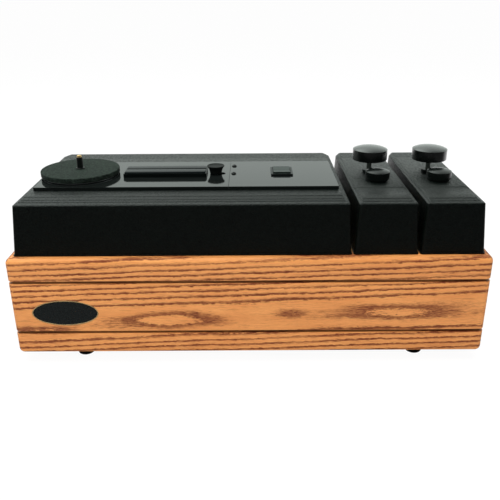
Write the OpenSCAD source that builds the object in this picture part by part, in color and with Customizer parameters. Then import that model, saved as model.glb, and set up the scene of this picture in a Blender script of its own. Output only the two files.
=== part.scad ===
// Vacuum record cleaning machine: an oak cabinet that carries a wide cover with
// the turntable, the suction slot and the drive, and two fluid modules beside it.
// Millimetres. The origin is under the middle of the machine at the feet's
// undersides, +X is to the user's right, +Y to the back and +Z up.

/* [Cabinet] */
// Width of the cabinet
cab_w = 508; // [500:1:560]
// Depth of the cabinet
cab_d = 240; // [236:1:290]
// Height of the cabinet without its feet
cab_h = 112.5; // [110:0.5:140]
// Thickness of the oak boards
board_t = 18; // [15:0.5:19]
// Radius of the rounded arrises of the boards
edge_r = 6; // [2:0.5:8]
// Width of the two grooves that run round the cabinet
groove_w = 3; // [1:0.5:5]
// Depth of the grooves
groove_deep = 3; // [1:0.5:6]
// Distance of each groove from the nearer edge of the cabinet
groove_in = 26.5; // [18:0.5:40]
// Thickness of the plywood base board
base_t = 12; // [9:0.5:15]
// Side of the square blocks glued into the corners
block_w = 22; // [16:1:28]
// Width of the rails under the gaps between the covers
rail_w = 16; // [12:1:16]
// Height of those rails
rail_h = 18; // [12:1:24]

/* [Feet and badge] */
// Height of a rubber foot
foot_h = 12; // [9:0.5:20]
// Radius of a foot where it meets the cabinet
foot_r = 9.7; // [8:0.1:14]
// Distance of the feet from the sides of the cabinet
foot_in_x = 68; // [32:1:120]
// Distance of the feet from the front and the back
foot_in_y = 24.5; // [24:0.5:60]
// Width of the oval badge
badge_w = 71; // [50:1:90]
// Height of the badge
badge_h = 30; // [20:1:40]
// Thickness of the badge, let in flush
badge_t = 1; // [0.6:0.1:2]
// Distance of the badge's middle from the left side
badge_in = 57; // [50:1:90]
// Height of the badge's middle above the cabinet's underside
badge_up = 50; // [46:1:62]

/* [Covers] */
// Width of oak that shows beside the covers
ledge_side = 8; // [4:0.5:10]
// Width of oak that shows in front of and behind the covers
ledge_front = 9; // [6:0.5:11]
// Height of the covers up to their outer top edge
cover_h = 54.5; // [50:0.5:70]
// Height of the raised part of the tops above that edge
top_rise = 1.5; // [0.6:0.1:3]
// Wall thickness of the covers
wall = 3; // [2:0.1:3.4]
// Lean of the front and back walls over their height
lean_front = 5; // [2:0.5:7]
// Lean of the two outermost side walls
lean_side = 4; // [1:0.5:6]
// Lean of the walls between the covers
lean_gap = 3; // [1:0.5:5]
// Width of a fluid module at its foot
module_w = 66.4; // [64:0.2:72]
// Gap between the covers at their feet
cover_gap = 3; // [2:0.2:5]
// Width of the small flange at the foot of a cover
lip_w = 0.8; // [0.4:0.1:0.9]
// Height of that flange
lip_t = 1.6; // [1:0.1:3]
// Cut of the back corners along the back edge
corner_x = 6; // [2:0.5:10]
// Cut of the back corners along the side edge
corner_y = 14; // [4:1:20]

/* [Panels] */
// Thickness of the two acrylic panels
panel_t = 3.5; // [2.5:0.1:5]
// Distance of the panels from the main cover's left foot
panel_in_left = 12.5; // [10:0.5:21]
// Place of the seam, left of the middle
seam_left = 21.9; // [21:0.1:24]
// Distance of the panels from the main cover's right foot
panel_in_right = 9.7; // [9.2:0.5:37.2]
// Distance from the axis line forward to the panels' front edge
panel_fore = 51.4; // [46:0.1:65]
// Distance from the axis line back to the panels' back edge
panel_aft = 53.1; // [48:0.1:69]

/* [Platter and slot] */
// Radius of the platter's metal disc
platter_r = 42.5; // [34:0.5:46]
// Thickness of that disc
platter_t = 1; // [0.8:0.1:2]
// Radius of the thick mat on it
mat_r = 44.3; // [36:0.1:48]
// Thickness of the mat
mat_t = 5.5; // [3:0.1:7]
// Space between the platter and the panel
platter_gap = 0.7; // [0.7:0.1:2]
// Distance of the platter's axis left of the middle
platter_left = 193.8; // [190:0.1:198]
// Distance of the axis line behind the front board's face
axis_back = 110.4; // [109:0.1:112]
// Radius of the spindle's record pin
pin_r = 3.55; // [3.4:0.01:3.6]
// Height of the record pin above the mat
pin_h = 15.4; // [10:0.1:20]
// Radius of the spindle's shaft in its bushing
shaft_r = 3; // [2.5:0.1:4]
// Outer radius of the spindle bushing
bush_r = 6; // [5:0.1:8]
// Left end of the slot bar from the middle
bar_left = 142; // [138:0.5:146]
// Right end of the slot bar from the middle
bar_right = 48; // [47.8:0.1:52]
// Height of the slot bar above the panel
bar_h = 4.3; // [4:0.1:5]
// Depth of the slot bar in front of the axis line
bar_front = 14.9; // [13:0.1:18]
// Depth of the slot bar behind the axis line
bar_back = 14.9; // [13:0.1:18]
// Inset of the two lips from the edges of the bar
lip_in = 1.2; // [0.6:0.1:3]
// Height of the lips above the bar
lip_h = 1.7; // [1.6:0.1:2.4]
// Radius of the lips' edges
lip_round = 1.4; // [0.5:0.1:1.5]
// Width of the suction slit
slit_w = 1.8; // [1:0.1:3]

/* [Capstan drive] */
// Distance from the spindle to the capstan without a record
reach = 155.9; // [155:0.1:157]
// Radius of the capstan's rim
flange_r = 9.9; // [8:0.1:10]
// Radius of the capstan's foot
waist_r = 6.8; // [5:0.1:7.5]
// Height of the capstan above the panel
roller_h = 9.7; // [9:0.1:12]
// Radius of the capstan's shaft
cap_shaft_r = 2.5; // [2:0.1:2.8]
// Travel of the drive carriage away from the spindle
travel = 5; // [3:0.5:5]
// Width of the slot for the capstan in the panel
cap_slot_w = 10; // [8:0.5:12]
// Module of the gear teeth
gear_m = 0.4; // [0.36:0.01:0.41]
// Teeth of the output gear
gear_z = 42; // [42, 28]
// Teeth of the motor pinion
pinion_z = 14; // [14]
// Thickness of the gears
gear_t = 4; // [3:0.5:5]
// Radius of the drive motor
motor_r = 14; // [12:0.5:15]
// Height of the drive motor
motor_h = 19; // [16:0.5:22]

/* [Switch] */
// Distance of the switch's middle from the main cover's right foot
switch_in = 69.2; // [57.2:0.5:77.2]
// Distance of the switch's middle behind the axis line
switch_back = 5; // [1.5:0.1:13.5]
// Width of the switch's frame
bezel_w = 25; // [23:0.5:28]
// Length of the switch's frame, front to back
bezel_l = 31; // [28:0.5:34]
// Height of the frame above the panel
bezel_h = 1.8; // [1.2:0.1:4]
// Depth of the switch below the panel
switch_deep = 24; // [20:0.5:28]
// Tilt of the rocker each way, in degrees
rocker_tilt = 10; // [5:1:10]

/* [Fluid modules] */
// Radius of a pump knob
knob_r = 19.9; // [16:0.1:20]
// Thickness of a pump knob at its rim
knob_t = 12.4; // [8:0.1:14]
// Rise of a pump knob's domed top above its rim
knob_crown = 3.6; // [0.5:0.1:5]
// Height of a knob's underside above the cover
knob_up = 15; // [12:0.5:20]
// Radius of a pump's stem
stem_r = 2.75; // [2:0.05:3.5]
// Distance of the pumps behind the middle
pump_back = 7.6; // [7:0.1:12]
// Distance of a pump left of its module's middle
pump_dx = 1.8; // [0:0.1:4]
// Outer radius of a pump's barrel
barrel_r = 8; // [7.6:0.1:10]
// Wall thickness of a pump's barrel
barrel_wall = 1.9; // [1.2:0.1:2.5]
// Travel of a pump's plunger
stroke = 11; // [6:0.5:11]
// Radius of a filler cap
cap_r = 13.6; // [12.6:0.1:13.6]
// Height of a filler cap's rim above the cover
cap_h = 10.2; // [9:0.1:13]
// Rise of a filler cap's domed top above its rim
cap_crown = 2.4; // [0.5:0.1:4]
// Distance of the fillers in front of the middle
filler_fwd = 26.4; // [26.3:0.1:32]
// Distance of a filler right of its module's middle
filler_dx = 1.9; // [0:0.1:4]
// Outer radius of a filler neck
neck_r = 10.8; // [9:0.1:11]
// Width of a fluid tank
tank_w = 44; // [36:0.5:44]
// Front wall of a fluid tank, forward of the middle
tank_front = 62; // [50:1:90]
// Back wall of a fluid tank, behind the middle
tank_back = 46; // [36:1:80]
// Room between a fluid tank and the cover's underside
tank_room = 18; // [14:1:50]
// Wall thickness of the tanks
tank_wall = 2.2; // [1.5:0.1:3]

/* [Suction system] */
// Left wall of the waste tank from the middle
waste_left = 140; // [125:1:170]
// Right wall of the waste tank from the middle
waste_right = 62; // [60:1:70]
// Front wall of the waste tank, forward of the middle
waste_front = 70; // [58:1:85]
// Back wall of the waste tank, behind the middle
waste_back = 40; // [20:1:60]
// Height of the waste tank
waste_h = 94; // [80:1:96]
// Radius of the fan housing
fan_r = 58; // [50:0.5:59]
// Height of the fan housing without its lid
fan_h = 44; // [40:0.5:46]
// Radius of the suction motor
vac_r = 40; // [34:0.5:44]
// Height of the suction motor
vac_h = 40; // [36:0.5:42]
// Gap between the fan housing and the rail on its right
fan_side = 7.7; // [4.7:0.1:7.7]
// Gap between the fan housing and the front board
fan_front = 2; // [1:0.5:4]
// Outer radius of the suction hose
hose_r = 12; // [11.2:0.1:13]
// Radius of the hose's centre line in its bends
hose_bend = 20; // [18:0.5:21]

/* [Clearances] */
// Gap between pieces that only sit in each other
gap = 0.3; // [0.25:0.01:0.4]
// Radial clearance of a shaft that turns or slides in its bore
run = 0.05; // [0.02:0.01:0.09]
// Radial clearance of a pressed or screwed fit
press = 0.02; // [0.01:0.005:0.04]

/* [Hidden] */
$fn = 64;
e = 1; // overshoot of cuts

// Levels
z_floor = foot_h + base_t;
z_ledge = foot_h + cab_h;
z_rim = z_ledge + cover_h;
z_top = z_rim + top_rise;
z_under = z_rim - wall;
z_panel = z_top + panel_t;
x_in = cab_w / 2 - board_t;
y_in = cab_d / 2 - board_t;

// Feet of the three covers: left, right, lean left, lean right
cover_y = cab_d / 2 - ledge_front;
m2_r = cab_w / 2 - ledge_side;
m2_l = m2_r - module_w;
m1_r = m2_l - cover_gap;
m1_l = m1_r - module_w;
main_r = m1_l - cover_gap;
main_l = -(cab_w / 2 - ledge_side);
MAIN = [main_l, main_r, lean_side, lean_gap];
MODULES = [[m1_l, m1_r, lean_gap, lean_gap], [m2_l, m2_r, lean_gap, lean_side]];
// Distances of the moulded steps from the front, side and back top edges
MAIN_STEPS = [[8, 4, 31], [14, 4.8, 31], [23, 5.5, 40]];
MODULE_STEPS = [[6, 4, 31], [14, 4.8, 31], [51, 0.6, 40]];
// Middle of each fluid module
MID = [(m1_l + m1_r) / 2, (m2_l + m2_r) / 2];

// Fasteners
screw_r = 1.8;
screw_head_r = 3.5;
screw_head_t = 2.2;
base_screw_l = 18;
cleat = 10;
cleat_in = corner_x * (1 + lean_front / corner_y) + wall + 1;
screw_left = 92;
screw_right = 48;
COVER_SCREWS = [[main_l + screw_left, 0], [main_r - screw_right, 0], [MID[0], 0], [MID[1], 0]];

// Axis line of platter, slot and capstan
axis_y = axis_back - cab_d / 2;
panel_left = -main_l - panel_in_left;
panel_right = main_r - panel_in_right;
panel_front = panel_fore - axis_y;
panel_back = panel_aft + axis_y;
px = -platter_left;
cx = px + reach;
z_platter = z_panel + platter_gap;
z_mat = z_platter + platter_t;
z_play = z_mat + mat_t;
bush_flange_r = 9;
bush_top = z_platter - 0.4;
bush_low = z_under - 10;

// Suction duct below the slot
duct_l = -130;
duct_r = -60;
duct_half = 7;
duct_low = z_under - 26;
duct_wall = 2;
spigot_x = -95;
spigot_r = 10;
spigot_bore = 8;
dip = 3;
spigot_low = z_floor + waste_h - tank_wall - dip;
duct_room = 5;

// Capstan drive
screw_x = -17.3;
guide_aft = 30.9;
guide_fore = 1.4;
CARRIAGE_Y = [axis_y + guide_aft, axis_y - guide_fore];
carr_top = z_under - 5;
carr_t = 2;
carr_low = carr_top - carr_t;
case_h = 16;
case_wall = 1.6;
case_low = carr_low - case_h;
gear_r = gear_m * gear_z / 2;
pinion_r = gear_m * pinion_z / 2;
mesh = gear_r + pinion_r;
gear_add = 0.8 * gear_m;
gear_ded = 1.15 * gear_m;
case_half = gear_r + gear_add + 0.6;
pinion_y = axis_y + mesh;
pinion_shaft_r = 1;
gear_low = case_low + 4;
guide_r = 2.5;
carr_fore = 12;
carr_aft = 10;
carr_right = 9;
tab_left = 6;
coil_in = 12;
guide_boss_r = 4.5;
button_r = 2.9;
spring_y = CARRIAGE_Y[0];
spring_drop = 9;
spring_z = carr_low - spring_drop;
post_x = duct_r - 2;
post_r = 1;

// Switch
switch_x = main_r - switch_in;
switch_y = axis_y + switch_back;
switch_body_w = bezel_w - 2;
switch_body_l = bezel_l - 2;
well_w = bezel_w - 4.6;
well_l = bezel_l - 4;
pivot_z = z_panel - 5;
pivot_r = 1.2;
tab_h = 8;
tab_t = 0.8;
tab_pitch = 9;

// Fluid modules
PUMP = [for (m = MID) m - pump_dx];
FILLER = [for (m = MID) m + filler_dx];
pump_y = pump_back;
filler_y = -filler_fwd;
tank_top = z_under - tank_room;
collar_r = 7.5;
collar_t = 3;
barrel_bore = barrel_r - barrel_wall;
barrel_up = 76;
barrel_low = z_floor + barrel_up;
barrel_floor = 4;
piston_t = 6;
piston_drop = 32;
piston_z = z_under - piston_drop;
outlet_z = z_under - 10;
nipple_r = 1.6;
nipple_l = 6;
knob_low = z_top + knob_up;
cap_low = z_top + 1;
neck_top = z_top + cap_h - 5;
neck_bore = neck_r - 2.2;
seal_t = 1.4;
cap_inner = neck_r + 0.5;
tube_r = 2.6;
tube_bend = 12;
TUBE_Y = [62, 70];
TUBE_Z = [70, 62];
TUBE_X = [-84, -104];

// Suction motor, drain and cord
fan_x = main_r + cover_gap / 2 - rail_w / 2 - fan_side - fan_r;
fan_y = -(y_in - fan_front - fan_r);
isolator_h = 10;
vac_low = z_floor + isolator_h;
fan_low = vac_low + vac_h;
fan_lid = fan_low + fan_h;
fan_wall = 2.5;
lid_t = 3;
fan_shaft_r = 4;
hose_bore = hose_r - 1.9;
inlet_r = hose_bore - press;
inlet_bore = inlet_r - 2.4;
inlet_up = 10;
suction_x = -80;
hose_z = fan_lid + lid_t + inlet_up + hose_bend + e;
spout_w = 38;
spout_x = fan_x - fan_r + spout_w / 2 + 7;
spout_t = 15;
spout_z = fan_low + 2 + spout_t / 2;
grille_t = 2;
grille_rim = 4;
drain_x = -100;
drain_z = z_floor + 12;
drain_r = 8;
drain_bore = 5;
pocket_r = 11;
pocket_deep = 8;
cord_x = switch_x;
cord_up = 46;
cord_z = foot_h + cord_up;
cord_r = 3.6;
gland_r = 8;
gland_flange = 11;
lead_r = 3;
lead_y = y_in - 14;
lead_z = z_panel - switch_deep - tab_h / 2;

// Shared shapes

// Rounded rectangle centred on the origin
module round_rect(w, d, r) {
  square([w - 2 * r, d], center = true);
  square([w, d - 2 * r], center = true);
  for (x = [-1, 1], y = [-1, 1])
    translate([x * (w / 2 - r), y * (d / 2 - r)]) circle(r);
}

// Lays a drawing of x and z upright, spanning y from -depth/2 to depth/2
module upright_x(depth) {
  rotate([90, 0, 0]) translate([0, 0, -depth / 2]) linear_extrude(depth) children();
}

// Lays a drawing of y and z upright, spanning x from -width/2 to width/2
module upright_y(width) {
  rotate([90, 0, 90]) translate([0, 0, -width / 2]) linear_extrude(width) children();
}

// Half outline of a domed top, from its edge to its middle
function dome(r, z, rise) = [for (a = [0:15:90]) [r * cos(a), z + rise * pow(sin(a), 1.5)]];

// Cylinder between two heights
module post(x, y, r, z0, z1) {
  translate([x, y, z0]) cylinder(r = r, h = z1 - z0);
}

// Tube between two heights
module sleeve(x, y, r, bore, z0, z1) {
  difference() {
    post(x, y, r, z0, z1);
    post(x, y, bore, z0 - e, z1 + e);
  }
}

// Box between two corners
module block(a, b) {
  translate(a) cube(b - a);
}

// Round bar along a polyline of axis-parallel runs with quarter bends
module bent_bar(p, r, bend) {
  last = len(p) - 1;
  for (i = [0:last - 1]) {
    d = (p[i + 1] - p[i]) / norm(p[i + 1] - p[i]);
    a = p[i] + (i > 0 ? bend : 0) * d;
    b = p[i + 1] - (i < last - 1 ? bend : 0) * d;
    translate(a) rotate([0, acos(d[2]), atan2(d[1], d[0])]) cylinder(r = r, h = norm(b - a));
    if (i < last - 1) {
      n = (p[i + 2] - p[i + 1]) / norm(p[i + 2] - p[i + 1]);
      k = cross(d, n);
      translate(b + bend * n)
        multmatrix([[-n[0], d[0], k[0], 0], [-n[1], d[1], k[1], 0], [-n[2], d[2], k[2], 0], [0, 0, 0, 1]])
          rotate_extrude(angle = 90) translate([bend, 0]) circle(r);
    }
  }
}

// Screw pointing up along +Z, its head's underside at the origin
module screw(length) {
  translate([0, 0, -screw_head_t]) cylinder(r = screw_head_r, h = screw_head_t);
  cylinder(r = screw_r, h = length);
}

// Ellipse of the given width and height
module oval(w, h) {
  polygon([for (i = [0:71]) [w / 2 * cos(5 * i), h / 2 * sin(5 * i)]]);
}

// Cabinet

// Outer form of the cabinet with its rounded arrises and its two grooves
module cabinet_form() {
  difference() {
    intersection() {
      translate([0, 0, foot_h]) linear_extrude(cab_h) round_rect(cab_w, cab_d, edge_r);
      translate([0, 0, foot_h + cab_h / 2]) upright_x(cab_d) round_rect(cab_w, cab_h, edge_r);
      translate([0, 0, foot_h + cab_h / 2]) upright_y(cab_w) round_rect(cab_d, cab_h, edge_r);
    }
    for (z = [groove_in, cab_h - groove_in])
      translate([0, 0, foot_h + z - groove_w / 2]) linear_extrude(groove_w) difference() {
        square([cab_w + e, cab_d + e], center = true);
        round_rect(cab_w - 2 * groove_deep, cab_d - 2 * groove_deep, edge_r);
      }
  }
}

// Wedge of the plan that holds one mitred board: the front one, turned by quarters
module board_zone(turn) {
  w = turn % 2 == 0 ? cab_w / 2 : cab_d / 2;
  d = turn % 2 == 0 ? cab_d / 2 : cab_w / 2;
  rotate([0, 0, 90 * turn]) linear_extrude(z_ledge + e)
    polygon([[-w - e, -d - e], [w + e, -d - e], [w - board_t, -d + board_t],
      [-w + board_t, -d + board_t]]);
}

module oak_board(turn) {
  color("peru") intersection() {
    cabinet_form();
    board_zone(turn);
  }
}

// Oval recess or plate at the badge's place
module at_badge() {
  translate([badge_in - cab_w / 2, -cab_d / 2, foot_h + badge_up])
    rotate([90, 0, 0]) children();
}

module front_board() {
  color("peru") difference() {
    oak_board(0);
    at_badge() translate([0, 0, -badge_t]) linear_extrude(badge_t + e)
      oval(badge_w + 2 * gap / 3, badge_h + 2 * gap / 3);
  }
}

module back_board() {
  color("peru") difference() {
    oak_board(2);
    // exhaust opening and the rebate of its grille
    translate([spout_x, 0, spout_z])
      block([-spout_w / 2, y_in - e, -spout_t / 2], [spout_w / 2, cab_d, spout_t / 2]);
    translate([spout_x, 0, spout_z])
      block([-spout_w / 2 - grille_rim - gap, cab_d / 2 - grille_t, -spout_t / 2 - grille_rim - gap],
        [spout_w / 2 + grille_rim + gap, cab_d, spout_t / 2 + grille_rim + gap]);
    // drain spout and the pocket round its end
    translate([drain_x, y_in - e, drain_z]) rotate([-90, 0, 0])
      cylinder(r = drain_r + gap, h = board_t + 2 * e);
    translate([drain_x, cab_d / 2 - pocket_deep, drain_z]) rotate([-90, 0, 0])
      cylinder(r = pocket_r, h = pocket_deep + e);
    // cord gland and the recess of its flange
    translate([cord_x, y_in - e, cord_z]) rotate([-90, 0, 0])
      cylinder(r = gland_r + press, h = board_t + 2 * e);
    translate([cord_x, cab_d / 2 - 3, cord_z]) rotate([-90, 0, 0])
      cylinder(r = gland_flange + gap, h = 3 + e);
  }
}

module left_board() oak_board(3);

module right_board() oak_board(1);

// Places of the corner blocks' screws and of the feet
BLOCKS = [for (x = [-1, 1], y = [-1, 1])
  [x * (x_in - block_w / 2), y * (y_in - block_w / 2)]];
FEET = [for (x = [-1, 1], y = [-1, 1])
  [x * (cab_w / 2 - foot_in_x), y * (cab_d / 2 - foot_in_y)]];
counterbore = screw_head_t + 0.8;
foot_pocket = 4.5;
foot_web = 4;

module base_board() {
  color("burlywood") difference() {
    block([-x_in, -y_in, foot_h], [x_in, y_in, z_floor]);
    for (b = BLOCKS) {
      post(b[0], b[1], screw_r + press, foot_h - e, z_floor + e);
      post(b[0], b[1], screw_head_r + gap, foot_h - e, foot_h + counterbore);
    }
    for (f = FEET) post(f[0], f[1], screw_r + press, foot_h - e, z_floor + e);
  }
}

module corner_blocks() {
  color("burlywood") for (b = BLOCKS) difference() {
    block([b[0] - block_w / 2, b[1] - block_w / 2, z_floor],
      [b[0] + block_w / 2, b[1] + block_w / 2, z_ledge - 5]);
    post(b[0], b[1], screw_r + press, z_floor - e, z_floor + 12);
  }
}

// Base screws go up into the corner blocks, foot screws into the base board
module base_screws() {
  color("silver") {
    for (b = BLOCKS) translate([b[0], b[1], foot_h + counterbore]) screw(base_screw_l);
    for (f = FEET) translate([f[0], f[1], foot_h - foot_web]) screw(foot_web + base_t - 2);
  }
}

module rubber_feet() {
  color([0.06, 0.06, 0.06]) for (f = FEET) translate([f[0], f[1], 0]) difference() {
    cylinder(r1 = foot_r - 0.8, r2 = foot_r, h = foot_h);
    translate([0, 0, -e]) cylinder(r = foot_pocket, h = foot_h - foot_web + e);
    cylinder(r = screw_r + press, h = foot_h + e);
  }
}

module cross_rails() {
  color("burlywood") for (x = [main_r + cover_gap / 2, m1_r + cover_gap / 2])
    block([x - rail_w / 2, -y_in, z_ledge - rail_h], [x + rail_w / 2, y_in, z_ledge]);
}

// Outer face of the strips, just inside the leaning walls
cleat_y = cover_y - wall - cleat * lean_front / cover_h - gap;

module cover_cleats() {
  color("burlywood") difference() {
    for (c = concat([MAIN], MODULES), s = [-1, 1])
      block([c[0] + cleat_in, s > 0 ? cleat_y - cleat : -cleat_y, z_ledge],
        [c[1] - cleat_in, s > 0 ? cleat_y : cleat - cleat_y, z_ledge + cleat]);
    for (p = COVER_SCREWS) translate([p[0], cleat_y - cleat / 2 - 1, z_ledge + cleat / 2])
      rotate([-90, 0, 0]) cylinder(r = screw_r + press, h = cleat);
  }
}

module badge() {
  color([0.1, 0.1, 0.1]) at_badge()
    translate([0, 0, -badge_t]) linear_extrude(badge_t) oval(badge_w, badge_h);
}

// Covers

// Plan of a cover at its foot, grown by g, with its back corners cut
module cover_plan(c, g) {
  xl = c[0] - g;
  xr = c[1] + g;
  yb = cover_y + g;
  sx = corner_x + lean_front * corner_x / corner_y;
  sy = corner_y + lean_gap * corner_y / corner_x;
  polygon([[xl, -yb], [xr, -yb], [xr, yb - sy], [xr - sx, yb], [xl + sx, yb], [xl, yb - sy]]);
}

// Leaning block of a cover between two heights above its foot, shrunk by g
module leaning_block(c, g, h0, h1) {
  l = function(h) c[0] + g + c[2] * h / cover_h;
  r = function(h) c[1] - g - c[3] * h / cover_h;
  y = function(h) cover_y - g - lean_front * h / cover_h;
  translate([0, 0, z_ledge]) intersection() {
    upright_x(cab_d) polygon([[l(h0), h0], [r(h0), h0], [r(h1), h1], [l(h1), h1]]);
    upright_y(cab_w) polygon([[-y(h0), h0], [y(h0), h0], [y(h1), h1], [-y(h1), h1]]);
    translate([0, 0, -e]) linear_extrude(cover_h + 2 * e) cover_plan(c, -g);
  }
}

// Hollow cover with a foot flange and a stepped top
module cover_shell(c, steps) {
  difference() {
    union() {
      leaning_block(c, 0, 0, cover_h);
      translate([0, 0, z_ledge]) linear_extrude(lip_t) cover_plan(c, lip_w);
      for (i = [0:2])
        block([c[0] + c[2] + steps[i][1], -cover_y + lean_front + steps[i][0], z_under + e],
          [c[1] - c[3] - steps[i][1], cover_y - lean_front - steps[i][2],
            z_rim + top_rise * (i + 1) / 3]);
    }
    leaning_block(c, wall, -e, cover_h - wall);
  }
}

// Screw holes through the back walls
module cover_holes() {
  for (p = COVER_SCREWS) translate([p[0], cleat_y - e, z_ledge + cleat / 2])
    rotate([-90, 0, 0]) cylinder(r = screw_r + gap, h = 10);
}

// Openings in the main cover and its panels, as wide as the piece plus a gap
module duct_cut(grow) {
  block([duct_l - grow, axis_y - duct_half - grow, z_under - e],
    [duct_r + grow, axis_y + duct_half + grow, z_panel + e]);
}

module switch_cut() {
  translate([switch_x, switch_y, z_under - e]) linear_extrude(wall + top_rise + panel_t + 2 * e)
    square([switch_body_w + 2 * gap, switch_body_l + 2 * gap], center = true);
}

module capstan_cut(w) {
  for (x = [cx, cx + travel + 1]) post(x, axis_y, w / 2, z_under - e, z_panel + e);
  block([cx, axis_y - w / 2, z_under - e], [cx + travel + 1, axis_y + w / 2, z_panel + e]);
}

module main_cover() {
  color([0.12, 0.14, 0.13]) {
    difference() {
      cover_shell(MAIN, MAIN_STEPS);
      post(px, axis_y, bush_r + press, z_under - e, z_top + e);
      duct_cut(duct_room);
      capstan_cut(cap_slot_w + 2);
      switch_cut();
      for (y = CARRIAGE_Y) post(screw_x, y, guide_r + press, z_under - e, z_top + e);
      cover_holes();
    }
    // bosses that space the drive carriage, and the post of its spring
    for (y = CARRIAGE_Y)
      sleeve(screw_x, y, guide_boss_r, guide_r + press, carr_top + gap, z_under + e);
    post(post_x, spring_y, post_r, spring_z - 3, z_under + e);
  }
}

module reservoir_cover(i) {
  color([0.12, 0.14, 0.13]) difference() {
    cover_shell(MODULES[i], MODULE_STEPS);
    post(FILLER[i], filler_y, neck_r + gap, z_under - e, z_top + e);
    post(PUMP[i], pump_y, collar_r + press, z_under - e, z_top + e);
    cover_holes();
  }
}

module reservoir_cover_1() reservoir_cover(0);

module reservoir_cover_2() reservoir_cover(1);

module cover_screws() {
  seat = cover_y - lean_front * (cleat / 2 - screw_head_r) / cover_h + 0.05;
  color("silver") for (p = COVER_SCREWS)
    translate([p[0], seat, z_ledge + cleat / 2]) rotate([90, 0, 0]) screw(seat - cleat_y + cleat / 2);
}

// Panels

module panel(x0, x1) {
  difference() {
    block([x0, -panel_front, z_top], [x1, panel_back, z_panel]);
    post(px, axis_y, bush_r + press, z_top - e, z_panel + e);
    duct_cut(gap);
    capstan_cut(cap_slot_w);
    switch_cut();
    for (y = CARRIAGE_Y) post(screw_x, y, guide_r + press, z_top - e, z_panel + e);
  }
}

module left_panel() {
  color([0.25, 0.27, 0.26]) panel(-panel_left, -seam_left - gap / 2);
}

module right_panel() {
  color([0.35, 0.37, 0.36]) panel(-seam_left + gap / 2, panel_right);
}

// Platter

module platter() {
  color("silver") difference() {
    post(px, axis_y, platter_r, z_platter, z_mat, $fn = 128);
    post(px, axis_y, shaft_r + press, z_platter - e, z_mat + e);
  }
}

collar_pin_r = 5;
collar_pin_t = 1;
module platter_mat() {
  color([0.2, 0.24, 0.22]) difference() {
    translate([px, axis_y, z_mat]) rotate_extrude($fn = 128)
      polygon([[0, 0], [mat_r - 0.4, 0], [mat_r, 0.4], [mat_r, mat_t - 0.6],
        [mat_r - 0.6, mat_t], [0, mat_t]]);
    post(px, axis_y, collar_pin_r + gap, z_mat - e, z_play + e);
  }
}

// Spindle whose shoulder clamps the platter inside the mat's hole
module spindle() {
  tip = z_play + pin_h;
  color([0.1, 0.1, 0.1]) translate([px, axis_y, 0]) {
    translate([0, 0, bush_low - 4]) cylinder(r = shaft_r, h = z_mat - bush_low + 4 + e);
    translate([0, 0, bush_low - 2.4]) cylinder(r = shaft_r + 1.6, h = 2);
    translate([0, 0, z_mat]) cylinder(r = collar_pin_r, h = mat_t + collar_pin_t);
    translate([0, 0, z_play]) cylinder(r = pin_r, h = pin_h - 2.5);
    translate([0, 0, tip - 2.5]) cylinder(r1 = pin_r, r2 = pin_r - 1.3, h = 2.5);
  }
}

module spindle_bushing() {
  color("goldenrod") difference() {
    union() {
      post(px, axis_y, bush_r, bush_low, bush_top);
      post(px, axis_y, bush_flange_r, z_under - 4, z_under);
    }
    post(px, axis_y, shaft_r + run, bush_low - e, bush_top + e);
  }
}

// Slot and waste tank

chamber_l = duct_l - 4;
chamber_r = duct_r + 6;
module slot_body() {
  color([0.06, 0.08, 0.07]) difference() {
    union() {
      block([-bar_left, axis_y - bar_front, z_panel], [-bar_right, axis_y + bar_back, z_panel + bar_h]);
      block([duct_l, axis_y - duct_half, duct_low], [duct_r, axis_y + duct_half, z_panel + e]);
      post(spigot_x, axis_y, spigot_r, spigot_low, duct_low + e);
      for (x = TUBE_X) translate([x, axis_y + duct_half - e, outlet_z]) rotate([-90, 0, 0])
        cylinder(r = nipple_r, h = nipple_l + e);
    }
    block([duct_l + duct_wall, axis_y - duct_half + duct_wall, duct_low + duct_wall],
      [duct_r - duct_wall, axis_y + duct_half - duct_wall, z_panel + e]);
    block([chamber_l, axis_y - duct_half + duct_wall, z_panel + 0.5],
      [chamber_r, axis_y + duct_half - duct_wall, z_panel + bar_h - 1.5]);
    block([chamber_l, axis_y - slit_w / 2, z_panel], [chamber_r, axis_y + slit_w / 2, z_panel + bar_h + e]);
    post(spigot_x, axis_y, spigot_bore, spigot_low - e, duct_low + duct_wall + e);
    for (x = TUBE_X) translate([x, axis_y, outlet_z]) rotate([-90, 0, 0])
      cylinder(r = 0.8, h = duct_half + nipple_l + e);
  }
}

// Two smooth lips with rounded upper edges, one on each side of the slit
module slot_lips() {
  x0 = lip_in - bar_left;
  x1 = -bar_right - lip_in;
  color([0.3, 0.34, 0.35]) for (y = [[lip_in - bar_front, -slit_w / 2], [slit_w / 2, bar_back - lip_in]])
    translate([(x0 + x1) / 2, axis_y + (y[0] + y[1]) / 2, z_panel + bar_h])
      upright_y(x1 - x0) intersection() {
        translate([0, lip_h / 2]) square([y[1] - y[0], lip_h], center = true);
        translate([0, lip_h / 2 - lip_round]) round_rect(y[1] - y[0], lip_h + 2 * lip_round, lip_round);
      }
}

// Closed tank with a flat top
module box_tank(a, b) {
  t = [tank_wall, tank_wall, tank_wall];
  difference() {
    block(a, b);
    block(a + t, b - t);
  }
}

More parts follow.
